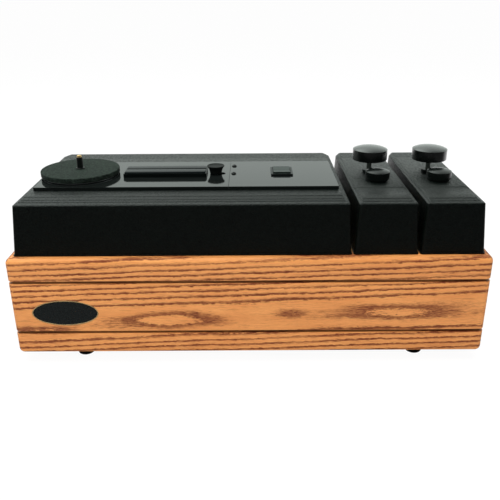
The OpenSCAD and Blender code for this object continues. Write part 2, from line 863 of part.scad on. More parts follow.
waste_top = z_floor + waste_h;
module waste_tank() {
  color("ivory") difference() {
    union() {
      box_tank([-waste_left, -waste_front, z_floor], [-waste_right, waste_back, waste_top]);
      translate([drain_x, waste_back - tank_wall, drain_z]) rotate([-90, 0, 0])
        cylinder(r = drain_r, h = cab_d / 2 - pocket_deep - waste_back + tank_wall + 2);
    }
    post(spigot_x, axis_y, spigot_r + run, waste_top - tank_wall - e, waste_top + e);
    post(suction_x, fan_y, hose_r + press, waste_top - tank_wall - e, waste_top + e);
    translate([drain_x, waste_back - tank_wall - e, drain_z]) rotate([-90, 0, 0])
      cylinder(r = drain_bore, h = cab_d / 2 - waste_back);
  }
}

plug_in = 12;
plug_end = cab_d / 2 - pocket_deep + 2;
module drain_plug() {
  color([0.08, 0.08, 0.08]) translate([drain_x, 0, drain_z]) rotate([-90, 0, 0]) {
    translate([0, 0, plug_end - plug_in]) cylinder(r = drain_bore - run, h = plug_in + e);
    translate([0, 0, plug_end + gap]) cylinder(r = drain_r, h = 2.5);
    translate([0, 0, plug_end + gap]) cylinder(r = 3, h = pocket_deep - 2 - gap - 0.5);
  }
}

// Suction hose's centre line from inside the tank to the fan's lid, both ends lengthened by g
function hose_line(g) = [[suction_x, fan_y, waste_top - tank_wall - dip - g],
  [suction_x, fan_y, hose_z], [fan_x, fan_y, hose_z], [fan_x, fan_y, fan_lid + lid_t + gap - g]];
module vacuum_hose() {
  color([0.2, 0.2, 0.2]) difference() {
    bent_bar(hose_line(0), hose_r, hose_bend);
    bent_bar(hose_line(e), hose_bore, hose_bend);
  }
}

// Suction motor and fan

module isolators() {
  color([0.1, 0.1, 0.1]) for (a = [90, 210, 330])
    post(fan_x + (vac_r - 10) * cos(a), fan_y + (vac_r - 10) * sin(a), 7, z_floor, vac_low);
}

module blower_motor() {
  color("gray") translate([fan_x, fan_y, 0]) difference() {
    post(0, 0, vac_r, vac_low, fan_low);
    post(0, 0, vac_r - 3, vac_low + 3, fan_low - 3);
    post(0, 0, fan_shaft_r + run, fan_low - 3 - e, fan_low + e);
  }
}

module blower_housing() {
  y1 = y_in - gap;
  color([0.15, 0.15, 0.16]) difference() {
    union() {
      post(fan_x, fan_y, fan_r, fan_low, fan_lid);
      block([spout_x - spout_w / 2, fan_y, spout_z - spout_t / 2],
        [spout_x + spout_w / 2, y1, spout_z + spout_t / 2]);
    }
    post(fan_x, fan_y, fan_r - fan_wall, fan_low + fan_wall, fan_lid + e);
    block([spout_x - spout_w / 2 + 2, fan_y, spout_z - spout_t / 2 + 2],
      [spout_x + spout_w / 2 - 2, y1 + e, spout_z + spout_t / 2 - 2]);
    post(fan_x, fan_y, fan_shaft_r + run, fan_low - e, fan_low + fan_wall + e);
  }
}

module blower_cover() {
  color([0.15, 0.15, 0.16]) difference() {
    union() {
      post(fan_x, fan_y, fan_r, fan_lid, fan_lid + lid_t);
      post(fan_x, fan_y, inlet_r, fan_lid + lid_t - e, fan_lid + lid_t + inlet_up);
    }
    post(fan_x, fan_y, inlet_bore, fan_lid - e, fan_lid + lid_t + inlet_up + e);
  }
}

// Fan wheel of two discs and nine vanes on the motor's shaft and rotor
module impeller() {
  wheel_r = fan_r - 10;
  low = fan_low + 6;
  high = fan_lid - 5;
  color("silver") translate([fan_x, fan_y, 0]) {
    post(0, 0, wheel_r, low, low + 2);
    sleeve(0, 0, wheel_r, inlet_bore + 4, high - 2, high);
    for (i = [0:8]) rotate([0, 0, 40 * i])
      block([inlet_bore + 2, -0.8, low + 1], [wheel_r - 0.5, 0.8, high - 1]);
    post(0, 0, 9, low, low + 8);
    post(0, 0, fan_shaft_r, vac_low + 8, low + 1);
    post(0, 0, vac_r - 8, vac_low + 8, fan_low - 8);
  }
}

module vent_grille() {
  w = spout_w + 2 * grille_rim;
  h = spout_t + 2 * grille_rim;
  color([0.1, 0.1, 0.1]) translate([spout_x, cab_d / 2 - grille_t, spout_z]) difference() {
    block([-w / 2, 0, -h / 2], [w / 2, grille_t, h / 2]);
    for (i = [-1.5:1.5]) translate([0, 0, i * spout_t / 4])
      block([-spout_w / 2 + 1, -e, -1.15], [spout_w / 2 - 1, grille_t + e, 1.15]);
  }
}

// Capstan drive

// Involute gear teeth, narrowed for backlash
pressure = 25;
tooth_fill = 0.84;
function involute(a) = tan(a) * 180 / PI - a;
function tooth_half(r, base, z) =
  tooth_fill * 90 / z + involute(pressure) - involute(acos(min(1, base / r)));
module gear_plan(z, phase) {
  pitch = gear_m * z / 2;
  base = pitch * cos(pressure);
  tip = pitch + gear_add;
  root = pitch - gear_ded;
  start = max(base, root);
  flank = [for (k = [0:4]) start + (tip - start) * k / 4];
  foot = tooth_half(start, base, z);
  polygon([for (i = [0:z - 1]) let (a = phase + i * 360 / z) each concat(
    [root * [cos(a - foot), sin(a - foot)]],
    [for (r = flank) let (t = a - tooth_half(r, base, z)) r * [cos(t), sin(t)]],
    [for (k = [4:-1:0]) let (r = flank[k], t = a + tooth_half(r, base, z)) r * [cos(t), sin(t)]],
    [root * [cos(a + foot), sin(a + foot)]])]);
}

module carriage() {
  x0 = cx - case_half - case_wall;
  y0 = CARRIAGE_Y[1] - carr_fore;
  color("silver") difference() {
    union() {
      block([x0, y0, carr_low], [screw_x + carr_right, CARRIAGE_Y[0] + carr_aft, carr_top]);
      post(cx, axis_y, cap_shaft_r + 3, carr_low, z_under - 0.8);
      block([screw_x + tab_left, spring_y - 4, spring_z - 4],
        [screw_x + carr_right, spring_y + 4, carr_low + e]);
    }
    post(cx, axis_y, cap_shaft_r + run, carr_low - e, z_under);
    for (y = CARRIAGE_Y) {
      for (x = [screw_x, screw_x - travel]) post(x, y, guide_r + 0.1, carr_low - e, carr_top + e);
      block([screw_x - travel, y - guide_r - 0.1, carr_low - e],
        [screw_x, y + guide_r + 0.1, carr_top + e]);
    }
  }
}

module carriage_screws() {
  color([0.05, 0.05, 0.05]) for (y = CARRIAGE_Y) {
    post(screw_x, y, guide_r, carr_low - 5, z_panel + 0.5);
    post(screw_x, y, button_r, z_panel, z_panel + 0.9);
    translate([screw_x, y, z_panel + 0.9]) cylinder(r1 = button_r, r2 = button_r - 1.2, h = 0.9);
  }
}

module carriage_nuts() {
  color("silver") for (y = CARRIAGE_Y)
    sleeve(screw_x, y, 4.2, guide_r + press, carr_low - gap - 4, carr_low - gap);
}

// Extension spring from the post on the cover to the carriage's tab
module carriage_spring() {
  x1 = screw_x + tab_left - press;
  x0 = post_x + coil_in;
  loop_l = post_x - post_r - travel - gap;
  loop_r = post_x + post_r + gap;
  color("silver") {
    translate([x0, spring_y, spring_z]) rotate([0, 90, 0]) difference() {
      cylinder(r = 2.4, h = x1 - x0);
      translate([0, 0, 2]) cylinder(r = 1.7, h = x1 - x0 - 4);
    }
    difference() {
      block([loop_l - 0.8, spring_y - 2.4, spring_z - 0.4], [x0 + 0.5, spring_y + 2.4, spring_z + 0.4]);
      block([loop_l, spring_y - 1.6, spring_z - e], [loop_r, spring_y + 1.6, spring_z + e]);
    }
  }
}

module gearbox_case() {
  out = case_half + case_wall;
  y1 = pinion_y + motor_r - 3;
  color([0.25, 0.25, 0.26]) difference() {
    block([cx - out, axis_y - out, case_low], [cx + out, y1, carr_low]);
    block([cx - case_half, axis_y - case_half, case_low + 2],
      [cx + case_half, y1 - case_wall, carr_low + e]);
    post(cx, axis_y, cap_shaft_r + run, case_low - e, case_low + 3);
    post(cx, pinion_y, pinion_shaft_r + run, case_low - e, case_low + 3);
  }
}

// Capstan shaft with the output gear moulded on it
module capstan_shaft() {
  color("lightgray") {
    post(cx, axis_y, cap_shaft_r, case_low + 0.5, z_panel + roller_h - 2);
    translate([cx, axis_y, gear_low]) linear_extrude(gear_t) gear_plan(gear_z, 90);
  }
}

// Rubber roller that flares from its foot to a rim above the record
module capstan_roller() {
  h = roller_h - 0.5;
  rim = 0.9;
  d = flange_r - waist_r;
  hollow = (pow(h - rim, 2) + d * d) / (2 * d);
  color([0.05, 0.06, 0.06]) difference() {
    translate([cx, axis_y, z_panel + 0.5]) rotate_extrude($fn = 96) difference() {
      polygon([[0, 0], [flange_r, 0], [flange_r, h - 0.4], [flange_r - 0.4, h], [0, h]]);
      translate([waist_r + hollow, 0]) circle(hollow);
    }
    post(cx, axis_y, cap_shaft_r + press, z_panel, z_panel + roller_h - 2 + press);
  }
}

module drive_pinion() {
  color("goldenrod") translate([cx, pinion_y, 0]) {
    translate([0, 0, gear_low]) linear_extrude(gear_t) gear_plan(pinion_z, 270 + 180 / pinion_z);
    post(0, 0, pinion_shaft_r, case_low - motor_h + 4, gear_low + gear_t + 2);
    post(0, 0, motor_r - 5, case_low - motor_h + 5, case_low - 5);
  }
}

module drive_motor() {
  color("silver") translate([cx, pinion_y, 0]) difference() {
    post(0, 0, motor_r, case_low - motor_h, case_low);
    post(0, 0, motor_r - 1.6, case_low - motor_h + 2, case_low - 2);
    post(0, 0, pinion_shaft_r + run, case_low - 3, case_low + e);
  }
}

// Switch

module switch_body() {
  low = z_panel - switch_deep;
  color([0.07, 0.08, 0.08]) translate([switch_x, switch_y, 0]) {
    difference() {
      union() {
        translate([0, 0, z_panel]) linear_extrude(bezel_h) round_rect(bezel_w, bezel_l, 1);
        translate([0, 0, low]) linear_extrude(switch_deep + e)
          square([switch_body_w, switch_body_l], center = true);
      }
      translate([0, 0, pivot_z - 10]) linear_extrude(20 + bezel_h)
        square([well_w, well_l], center = true);
    }
    translate([0, 0, pivot_z]) rotate([0, 90, 0])
      cylinder(r = pivot_r, h = well_w + 1, center = true);
    for (y = [-tab_pitch, 0, tab_pitch])
      block([-3.1, y - tab_t / 2, low - tab_h], [3.1, y + tab_t / 2, low + e]);
  }
}

// Rocker with a dished top, its ends rounded about the pivot
rocker_half = well_l / 2 - 1.7;
module rocker() {
  top = z_panel + bezel_h - pivot_z;
  low = -5.5;
  color([0.25, 0.29, 0.28]) translate([switch_x, switch_y, pivot_z])
    upright_y(well_w - 2 * gap - 0.2) difference() {
      polygon([[-rocker_half + 3, low], [rocker_half - 3, low], [rocker_half + 0.8, 0],
        [rocker_half, top + 1.8], [0, top - 0.2], [-rocker_half, top + 1.8], [-rocker_half - 0.8, 0]]);
      circle(pivot_r + run);
    }
}

// Fluid modules

module reservoir(i) {
  color("ivory") difference() {
    union() {
      box_tank([MID[i] - tank_w / 2, -tank_front, z_floor], [MID[i] + tank_w / 2, tank_back, tank_top]);
      post(FILLER[i], filler_y, neck_r, tank_top - tank_wall, neck_top);
    }
    post(FILLER[i], filler_y, neck_bore, tank_top - tank_wall - e, neck_top + e);
    post(PUMP[i], pump_y, barrel_r + gap, tank_top - tank_wall - e, tank_top + e);
  }
}

module reservoir_1() reservoir(0);

module reservoir_2() reservoir(1);

module cap_seal(i) {
  color("white") sleeve(FILLER[i], filler_y, neck_r - 0.2, 2, neck_top, neck_top + seal_t);
}

module cap_seal_1() cap_seal(0);

module cap_seal_2() cap_seal(1);

// Screw cap: a dark skirt and a domed top
module filler_cap(i) {
  top = z_top + cap_h;
  color([0.07, 0.09, 0.08]) difference() {
    translate([FILLER[i], filler_y, 0]) rotate_extrude($fn = 96)
      polygon(concat([[0, cap_low], [cap_r - 0.8, cap_low], [cap_r - 0.8, cap_low + 1],
        [cap_r, cap_low + 1.3], [cap_r, top - 0.9], [cap_r - 0.3, top - 0.3]],
        dome(cap_r - 0.8, top, cap_crown)));
    post(FILLER[i], filler_y, cap_inner, cap_low - e, neck_top + seal_t + press);
  }
}

module filler_cap_1() filler_cap(0);

module filler_cap_2() filler_cap(1);

module pump_barrel(i) {
  color([0.1, 0.11, 0.11]) translate([PUMP[i], pump_y, 0]) difference() {
    union() {
      post(0, 0, barrel_r, barrel_low, z_under);
      post(0, 0, barrel_r + 2, z_under - 4, z_under);
      post(0, 0, collar_r, z_under - e, z_top + collar_t);
      translate([0, barrel_bore + 1, outlet_z]) rotate([-90, 0, 0])
        cylinder(r = nipple_r, h = barrel_wall - 1 + nipple_l);
    }
    post(0, 0, barrel_bore, barrel_low + barrel_floor, z_under - 4);
    post(0, 0, stem_r + run, z_under - 5, z_top + collar_t + e);
    post(0, 0, 1.5, barrel_low - e, barrel_low + barrel_floor + e);
    translate([0, 0, outlet_z]) rotate([-90, 0, 0]) cylinder(r = 0.8, h = barrel_r + nipple_l + e);
  }
}

module pump_barrel_1() pump_barrel(0);

module pump_barrel_2() pump_barrel(1);

module pump_plunger(i) {
  color([0.2, 0.22, 0.2]) translate([PUMP[i], pump_y, 0]) {
    post(0, 0, stem_r, piston_z - e, knob_low + knob_t - 4);
    post(0, 0, barrel_bore - run, piston_z - piston_t, piston_z);
  }
}

module pump_plunger_1() pump_plunger(0);

module pump_plunger_2() pump_plunger(1);

// Round knob with a domed top
module pump_knob(i) {
  top = knob_low + knob_t;
  color([0.05, 0.05, 0.05]) difference() {
    translate([PUMP[i], pump_y, 0]) rotate_extrude($fn = 96)
      polygon(concat([[0, knob_low], [knob_r - 1.2, knob_low], [knob_r - 0.4, knob_low + 0.4],
        [knob_r, knob_low + 1.2], [knob_r, top - 0.9], [knob_r - 0.3, top - 0.3]],
        dome(knob_r - 0.8, top, knob_crown)));
    post(PUMP[i], pump_y, stem_r + press, knob_low - e, top - 4 + press);
  }
}

module pump_knob_1() pump_knob(0);

module pump_knob_2() pump_knob(1);

module pump_spring(i) {
  color("silver") sleeve(PUMP[i], pump_y, barrel_bore - 0.8, barrel_bore - 1.6,
    barrel_low + barrel_floor + press, piston_z - piston_t - press);
}

module pump_spring_1() pump_spring(0);

module pump_spring_2() pump_spring(1);

// Two flexible tubes: from the pumps to the back, low through the cabinet and up
// to the nipples behind the slot's duct
module fluid_tubes() {
  start_y = pump_y + barrel_r + 1;
  end_y = axis_y + duct_half + 1;
  color([0.75, 0.8, 0.8]) for (i = [0, 1]) {
    y = TUBE_Y[i];
    z = TUBE_Z[i];
    difference() {
      bent_bar([[PUMP[i], start_y, outlet_z], [PUMP[i], y, outlet_z], [PUMP[i], y, z],
        [TUBE_X[i], y, z], [TUBE_X[i], y, outlet_z], [TUBE_X[i], end_y, outlet_z]], tube_r, tube_bend);
      for (q = [[PUMP[i], start_y - e], [TUBE_X[i], end_y - e]])
        translate([q[0], q[1], outlet_z]) rotate([-90, 0, 0])
          cylinder(r = nipple_r + press, h = nipple_l + e);
    }
  }
}

// Cord gland and internal wiring

module cord_gland() {
  color([0.06, 0.06, 0.06]) translate([cord_x, 0, cord_z]) rotate([-90, 0, 0]) difference() {
    union() {
      translate([0, 0, y_in]) cylinder(r = gland_r, h = board_t);
      translate([0, 0, cab_d / 2 - 3]) cylinder(r = gland_flange, h = 3);
    }
    translate([0, 0, y_in - e]) cylinder(r = cord_r, h = board_t + 2 * e);
  }
}

// Bound leads from beside the gland up to the switch's rear tab
module wiring_harness() {
  color([0.1, 0.1, 0.1])
    bent_bar([[cord_x, y_in - 3, cord_z], [cord_x, lead_y, cord_z], [cord_x, lead_y, lead_z],
      [cord_x, switch_y + tab_pitch + tab_t / 2, lead_z]], lead_r, 8);
}

front_board();
back_board();
left_board();
right_board();
base_board();
corner_blocks();
base_screws();
cross_rails();
cover_cleats();
rubber_feet();
badge();
main_cover();
reservoir_cover_1();
reservoir_cover_2();
cover_screws();
left_panel();
right_panel();
platter();
platter_mat();
spindle();
spindle_bushing();
slot_body();
slot_lips();
waste_tank();
vacuum_hose();
blower_housing();
blower_cover();
impeller();
blower_motor();
isolators();
vent_grille();
carriage();
carriage_screws();
carriage_nuts();
carriage_spring();
gearbox_case();
capstan_shaft();
capstan_roller();
drive_pinion();
drive_motor();
switch_body();
rocker();
reservoir_1();
reservoir_2();
filler_cap_1();
filler_cap_2();
cap_seal_1();
cap_seal_2();
pump_barrel_1();
pump_barrel_2();
pump_plunger_1();
pump_plunger_2();
pump_knob_1();
pump_knob_2();
pump_spring_1();
pump_spring_2();
fluid_tubes();
cord_gland();
wiring_harness();
drain_plug();
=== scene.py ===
import math

import bmesh
import bpy
import numpy as np
from mathutils import Matrix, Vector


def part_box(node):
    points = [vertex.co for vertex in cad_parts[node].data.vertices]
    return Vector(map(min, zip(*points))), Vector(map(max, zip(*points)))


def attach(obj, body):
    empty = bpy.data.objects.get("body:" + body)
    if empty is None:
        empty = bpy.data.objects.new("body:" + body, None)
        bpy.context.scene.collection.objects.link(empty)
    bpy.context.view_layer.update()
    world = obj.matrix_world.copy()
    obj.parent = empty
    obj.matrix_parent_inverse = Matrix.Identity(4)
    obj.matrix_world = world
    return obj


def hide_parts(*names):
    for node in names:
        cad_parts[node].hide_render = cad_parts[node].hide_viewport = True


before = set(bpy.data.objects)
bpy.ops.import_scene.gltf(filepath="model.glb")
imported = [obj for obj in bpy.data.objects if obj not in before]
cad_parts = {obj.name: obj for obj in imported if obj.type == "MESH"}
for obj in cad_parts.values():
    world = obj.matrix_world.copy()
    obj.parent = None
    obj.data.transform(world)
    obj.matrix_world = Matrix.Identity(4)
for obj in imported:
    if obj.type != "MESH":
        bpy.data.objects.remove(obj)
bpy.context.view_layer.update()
MM = 0.001

# Camera. The photograph's viewpoint, worked out from the edges of the cabinet and the
# covers: its place, lens and sensor in millimetres and its tilt, turn and roll in degrees.
CAMERA_AT = (2.66, -718.35, 385.9)
TILT, TURN, ROLL = (math.radians(a) for a in (22.81, -0.15, -0.38))
LENS, SENSOR = 45.59, 36
forward = np.array([math.sin(TURN) * math.cos(TILT), math.cos(TURN) * math.cos(TILT),
                    -math.sin(TILT)])
across = np.array([math.cos(TURN), -math.sin(TURN), 0])
upward = np.cross(across, forward)
side = math.cos(ROLL) * across + math.sin(ROLL) * upward
top = -math.sin(ROLL) * across + math.cos(ROLL) * upward
camera = bpy.data.objects.new("camera", bpy.data.cameras.new("camera"))
camera.data.lens = LENS
camera.data.sensor_width = SENSOR
axes = Matrix(np.column_stack([side, top, -forward]).tolist()).to_4x4()
camera.matrix_world = Matrix.Translation([v * MM for v in CAMERA_AT]) @ axes
bpy.context.scene.collection.objects.link(camera)
bpy.context.scene.camera = camera


# Oak cabinet. Four solid oak boards, 18 mm thick, mitred and glued at the corners, with
# two grooves milled round them and the arrises rounded over. The back board has the
# exhaust opening, the drain's pocket and the cord's gland. Oiled, with a satin finish.
class Field:
    """A number, colour or vector that varies over a surface, held as a shader's socket."""

    def __init__(self, tree, socket):
        self.tree, self.socket = tree, socket

    def node(self, kind, inputs, settings=None, out=0):
        """Adds a node of that kind: its settings first, then the values or links of its sockets."""
        node = self.tree.nodes.new(kind)
        for key, value in (settings or {}).items():
            setattr(node, key, value)
        for key, value in inputs.items():
            if isinstance(value, Field):
                self.tree.links.new(value.socket, node.inputs[key])
            else:
                node.inputs[key].default_value = value
        return Field(self.tree, node.outputs[out])

    def math(self, operation, *others):
        """This and the others, in that order, through a maths node."""
        values = dict(enumerate((self, *others)))
        return self.node("ShaderNodeMath", values, {"operation": operation})

    def __add__(self, other):
        return self.math("ADD", other)

    def __sub__(self, other):
        return self.math("SUBTRACT", other)

    def __rsub__(self, other):
        return self.node("ShaderNodeMath", {0: other, 1: self}, {"operation": "SUBTRACT"})

    def __mul__(self, other):
        return self.math("MULTIPLY", other)

    def __truediv__(self, other):
        return self.math("DIVIDE", other)

    __radd__ = __add__
    __rmul__ = __mul__

    def smooth(self, low, high):
        """Rises smoothly from 0 at low to 1 at high."""
        return self.node("ShaderNodeMapRange", {0: self, 1: low, 2: high},
                         {"interpolation_type": "SMOOTHSTEP"})

    def xyz(self):
        """The three coordinates of this place."""
        split = self.node("ShaderNodeSeparateXYZ", {0: self}).socket.node
        return [Field(self.tree, socket) for socket in split.outputs]

    def stretched(self, sx, sy, sz):
        """This place scaled along the three axes: noise of scale 1 on it changes that many
        times per metre."""
        return self.node("ShaderNodeMapping", {0: self, "Scale": (sx, sy, sz)})

    def noise(self, scale=1, detail=2, roughness=0.5):
        """Cloudy noise from 0 to 1 at this place."""
        return self.node("ShaderNodeTexNoise", {"Vector": self, "Scale": scale, "Detail": detail,
                                                "Roughness": roughness}, out="Fac")

    def mixed(self, first, second):
        """The first colour where this is 0 and the second where it is 1."""
        return self.node("ShaderNodeMix", {0: self, 6: first, 7: second},
                         {"data_type": "RGBA"}, out=2)

    def bumped(self, depth, strength=1):
        """The normal of a surface that rises by depth metres where this is 1."""
        return self.node("ShaderNodeBump",
                         {"Height": self, "Distance": depth, "Strength": strength})

    def mottled(self, first, second, rough, spread, **more):
        """The sockets of a finish that follows this pattern: screen colours for 0 and 1 and a
        roughness that rises by spread."""
        return {"Base Color": self.mixed(linear(*first), linear(*second)),
                "Roughness": rough + self * spread, **more}


def linear(red, green, blue):
    """A screen colour from 0 to 255 as the shader's linear colour."""
    c = np.array([red, green, blue]) / 255
    return (*np.where(c < 0.04045, c / 12.92, ((c + 0.055) / 1.055) ** 2.4).tolist(), 1)


def finish_material(name, paint, **constants):
    """A material whose constants go on the shader's own sockets. paint gets the place on the
    object and returns the sockets that vary."""
    material = bpy.data.materials.new(name)
    material.use_nodes = True
    tree = material.node_tree
    shader = tree.nodes["Principled BSDF"]
    for key, value in constants.items():
        shader.inputs[key.replace("_", " ")].default_value = value
    place = Field(tree, tree.nodes.new("ShaderNodeTexCoord").outputs["Object"])
    for key, value in paint(place).items():
        tree.links.new(value.socket, shader.inputs[key])
    return material


RING_WIDTH, FIRST_RING, BEND = 6.3 * MM, 1.7, 4 * MM
LEVEL_HALF, LEVEL_HEIGHT, GRAIN_RISE = 18 * MM, 56 * MM, 0.035
LATE_PALE, LATE_WARM = linear(247, 175, 102), linear(202, 120, 58)
# The second brown is painted shade for the inside of the grooves.
PORE_BROWN, GROOVE_SHADE_BROWN = linear(112, 48, 20), linear(46, 22, 10)


def oak(name, along, face, lenses):
    """Flat-sawn oak, its grain along X (0) or Y (1). A zone where the saw ran level with a year
    ring climbs a little along the board. Outside it the rings cut the face as thin lines, one
    ring width apart: ring = FIRST_RING + (d + sqrt(d^2 + BEND^2)) / 2 / RING_WIDTH, where d is
    the distance beyond the zone. Inside it each lens (x, z, half length, half height, depth) dips
    to the ring below. A ring starts with a dark jagged band of pores and fades to pale late wood.
    The grooves, which are farther in than the face, are darkened with painted shade."""
    def paint(place):
        parts = place.xyz()
        length, depth, height = parts[along], parts[1 - along], parts[2]

        def grain(fast, high, detail=2, rough=0.5):
            """Noise with that many changes per metre along the grain and up the board."""
            scales = (fast, high) if along == 0 else (high, fast)
            return place.stretched(*scales, high).noise(1, detail, rough)

        drift, waves, jag = grain(5, 30), grain(16, 70, 3), grain(110, 800, 4, 0.75)
        rise = height - length * GRAIN_RISE - LEVEL_HEIGHT
        beyond = rise.math("ABSOLUTE") - LEVEL_HALF
        soft = beyond * beyond + BEND ** 2
        ring = FIRST_RING + (beyond + soft.math("SQRT")) / (2 * RING_WIDTH)
        for x, z, wide, high, dip in lenses:
            u, v = (length - x * MM) / (wide * MM), (height - z * MM) / (high * MM)
            bell = (u * u + v * v) * -1
            ring = ring - bell.math("EXPONENT") * dip
        ring = ring + (drift - 0.5) * 0.8 + (waves - 0.5) * 0.6 + (jag - 0.5) * 1.1
        phase = ring.math("FRACT")
        level = beyond.smooth(-12 * MM, 4 * MM)
        width = grain(14, 140, 3) * 0.5 + (1 - level) * 0.1
        early = phase.smooth(0.0, 0.07) * (1 - (phase - width).smooth(-0.14, 0.3))
        early = early * (0.65 + 0.35 * grain(9, 120).smooth(0.32, 0.52))
        dashes = grain(150, 2600, 2, 0.6).smooth(0.46, 0.62)
        fibre = grain(45, 1700, 3, 0.7)
        warmth = grain(12, 60)
        late = (warmth * 0.6 + fibre * 1.3 - 0.45).mixed(LATE_PALE, LATE_WARM)
        pores = grain(40, 620, 4, 0.8).smooth(0.55, 0.66)
        dark = early * (0.66 + level * 0.24 + 0.4 * dashes) + dashes * 0.12 + pores * 0.3
        shade = dark.math("MINIMUM", 1).mixed(late, PORE_BROWN)
        # Painted shade: inside the grooves, which lie farther in than the face, the colour turns
        # dark brown.
        sunk = (depth - face * MM).math("ABSOLUTE").smooth(0.7 * MM, 2.2 * MM)
        lower, upper = ((height - z).math("ABSOLUTE") for z in groove_heights)
        groove_shade = sunk * (1 - lower.math("MINIMUM", upper).smooth(1.45 * MM, 1.7 * MM))
        shade = (groove_shade * 0.75).mixed(shade, GROOVE_SHADE_BROWN)
        return {"Base Color": shade, "Roughness": 0.40 + dark * 0.25,
                "Normal": (1 - early * dashes).bumped(0.00015, 0.4)}
    return finish_material(name, paint, Specular_IOR_Level=0.35)


def put(name, points, faces, material, body, replaces=(), sharp=40):
    """Makes a piece from points in millimetres and faces, which are arrays of corner numbers,
    hangs it on the empty of the body that it rides on and hides the CAD nodes that it stands for."""
    mesh = bpy.data.meshes.new(name)
    corners = [row for block in faces for row in np.asarray(block).tolist()]
    mesh.from_pydata((np.asarray(points, float).reshape(-1, 3) * MM).tolist(), [], corners)
    work = bmesh.new()
    work.from_mesh(mesh)
    bmesh.ops.remove_doubles(work, verts=work.verts, dist=1e-6)
    bmesh.ops.dissolve_degenerate(work, edges=work.edges, dist=1e-7)
    bmesh.ops.recalc_face_normals(work, faces=work.faces)
    work.to_mesh(mesh)
    work.free()
    piece = bpy.data.objects.new(name, mesh)
    bpy.context.scene.collection.objects.link(piece)
    for each in material if isinstance(material, list) else [material]:
        mesh.materials.append(each)
    settle(piece, sharp)
    if body:
        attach(piece, body)
        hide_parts(*replaces)
    return piece


def settle(piece, sharp=40):
    """Smooth shading, with edges kept sharp where the faces turn by more than that angle."""
    piece.data.shade_smooth()
    piece.data.set_sharp_from_angle(angle=math.radians(sharp))


def grid_faces(rows, columns, start=0, closed=False):
    """Four corners of each cell of a grid of points, closed round its columns if asked."""
    row, column = np.meshgrid(np.arange(rows - 1), np.arange(columns - (not closed)), indexing="ij")
    a, b = row * columns + column, row * columns + (column + 1) % columns
    return np.stack([a, b, b + columns, a + columns], -1).reshape(-1, 4) + start


def tube_faces(rings, n):
    """Faces of a tube of that many rings of n points each, with both ends closed."""
    loop = np.arange(n)
    ends = [loop.tolist()], [(loop + (rings - 1) * n).tolist()]
    return [grid_faces(rings, n, closed=True), *ends]


def cut(piece, *cutters):
    """Takes the cutters' shapes out of the piece for good."""
    for cutter in cutters:
        step = piece.modifiers.new("cut", "BOOLEAN")
        step.operation, step.solver, step.object = "DIFFERENCE", "EXACT", cutter
        with bpy.context.temp_override(object=piece, active_object=piece):
            bpy.ops.object.modifier_apply(modifier=step.name)
        bpy.data.objects.remove(cutter)
    settle(piece)


def prism(outline, axis, low, high):
    """An outline in two dimensions carried straight along an axis, as a cutter."""
    outline = np.asarray(outline, float)
    n = len(outline)
    ends = np.repeat([low, high], n)
    points = np.insert(np.tile(outline, (2, 1)), axis, ends, axis=1)
    return put("cutter", points, tube_faces(2, n), [], None)


def ellipse(x, y, rx, ry, n=64):
    """Points round an ellipse about (x, y)."""
    turn = np.linspace(0, 2 * np.pi, n, endpoint=False)
    return np.column_stack([x + rx * np.cos(turn), y + ry * np.sin(turn)])


def rectangle(x0, x1, y0, y1):
    """Corners of a rectangle."""
    return [(x0, y0), (x1, y0), (x1, y1), (x0, y1)]


def hole(x, y, r, axis, low, high, n=64):
    """A round cutter about (x, y) along an axis."""
    return prism(ellipse(x, y, r, r, n), axis, low, high)


def window(box, inset, axis, low, high):
    """A cutter with the outline of a box seen along an axis, drawn in by inset."""
    (x0, y0), (x1, y1) = (np.delete(corner, axis) for corner in box)
    outline = rectangle(x0 + inset, x1 - inset, y0 + inset, y1 - inset)
    return prism(outline, axis, low, high)


def place_of(node):
    """Lowest and highest corner of a CAD node in millimetres."""
    return tuple(np.array(corner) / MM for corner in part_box(node))


def middle_of(node):
    """Middle of a CAD node's box."""
    low, high = place_of(node)
    return (low + high) / 2


def half_of(node):
    """Half the size of a CAD node's box."""
    low, high = place_of(node)
    return (high - low) / 2


def arc(cx, cy, r, start, end, n=7):
    """Points of an arc between two angles in degrees."""
    turn = np.radians(np.linspace(start, end, n))
    return np.column_stack([cx + r * np.cos(turn), cy + r * np.sin(turn)])


sides = [place_of(f"{name}_board") for name in ("front", "back", "left", "right")]
cab_lo, cab_hi = np.min([low for low, _ in sides], 0), np.max([high for _, high in sides], 0)
BOARD, ARRIS, GROOVE, GROOVE_IN, SOFT = 18, 6, 3, 26.5, 0.5
groove_heights = [(cab_lo[2] + GROOVE_IN) * MM, (cab_hi[2] - GROOVE_IN) * MM]


def board_profile():
    """The board's section as (depth from its face, height): a rectangle with two outer corners
    turned by arcs and two grooves, whose lips are small arcs, in the face."""
    low, high = cab_lo[2], cab_hi[2]
    parts = [[(BOARD, low)], arc(ARRIS, low + ARRIS, ARRIS, 270, 180, 9)]
    for middle in (low + GROOVE_IN, high - GROOVE_IN):
        z0, z1 = middle - GROOVE / 2, middle + GROOVE / 2
        parts += [arc(SOFT, z0 - SOFT, SOFT, 180, 90, 4), [(GROOVE, z0), (GROOVE, z1)],
                  arc(SOFT, z1 + SOFT, SOFT, 270, 180, 4)]
    parts += [arc(ARRIS, high - ARRIS, ARRIS, 180, 90, 9), [(BOARD, high)]]
    return np.vstack(parts)


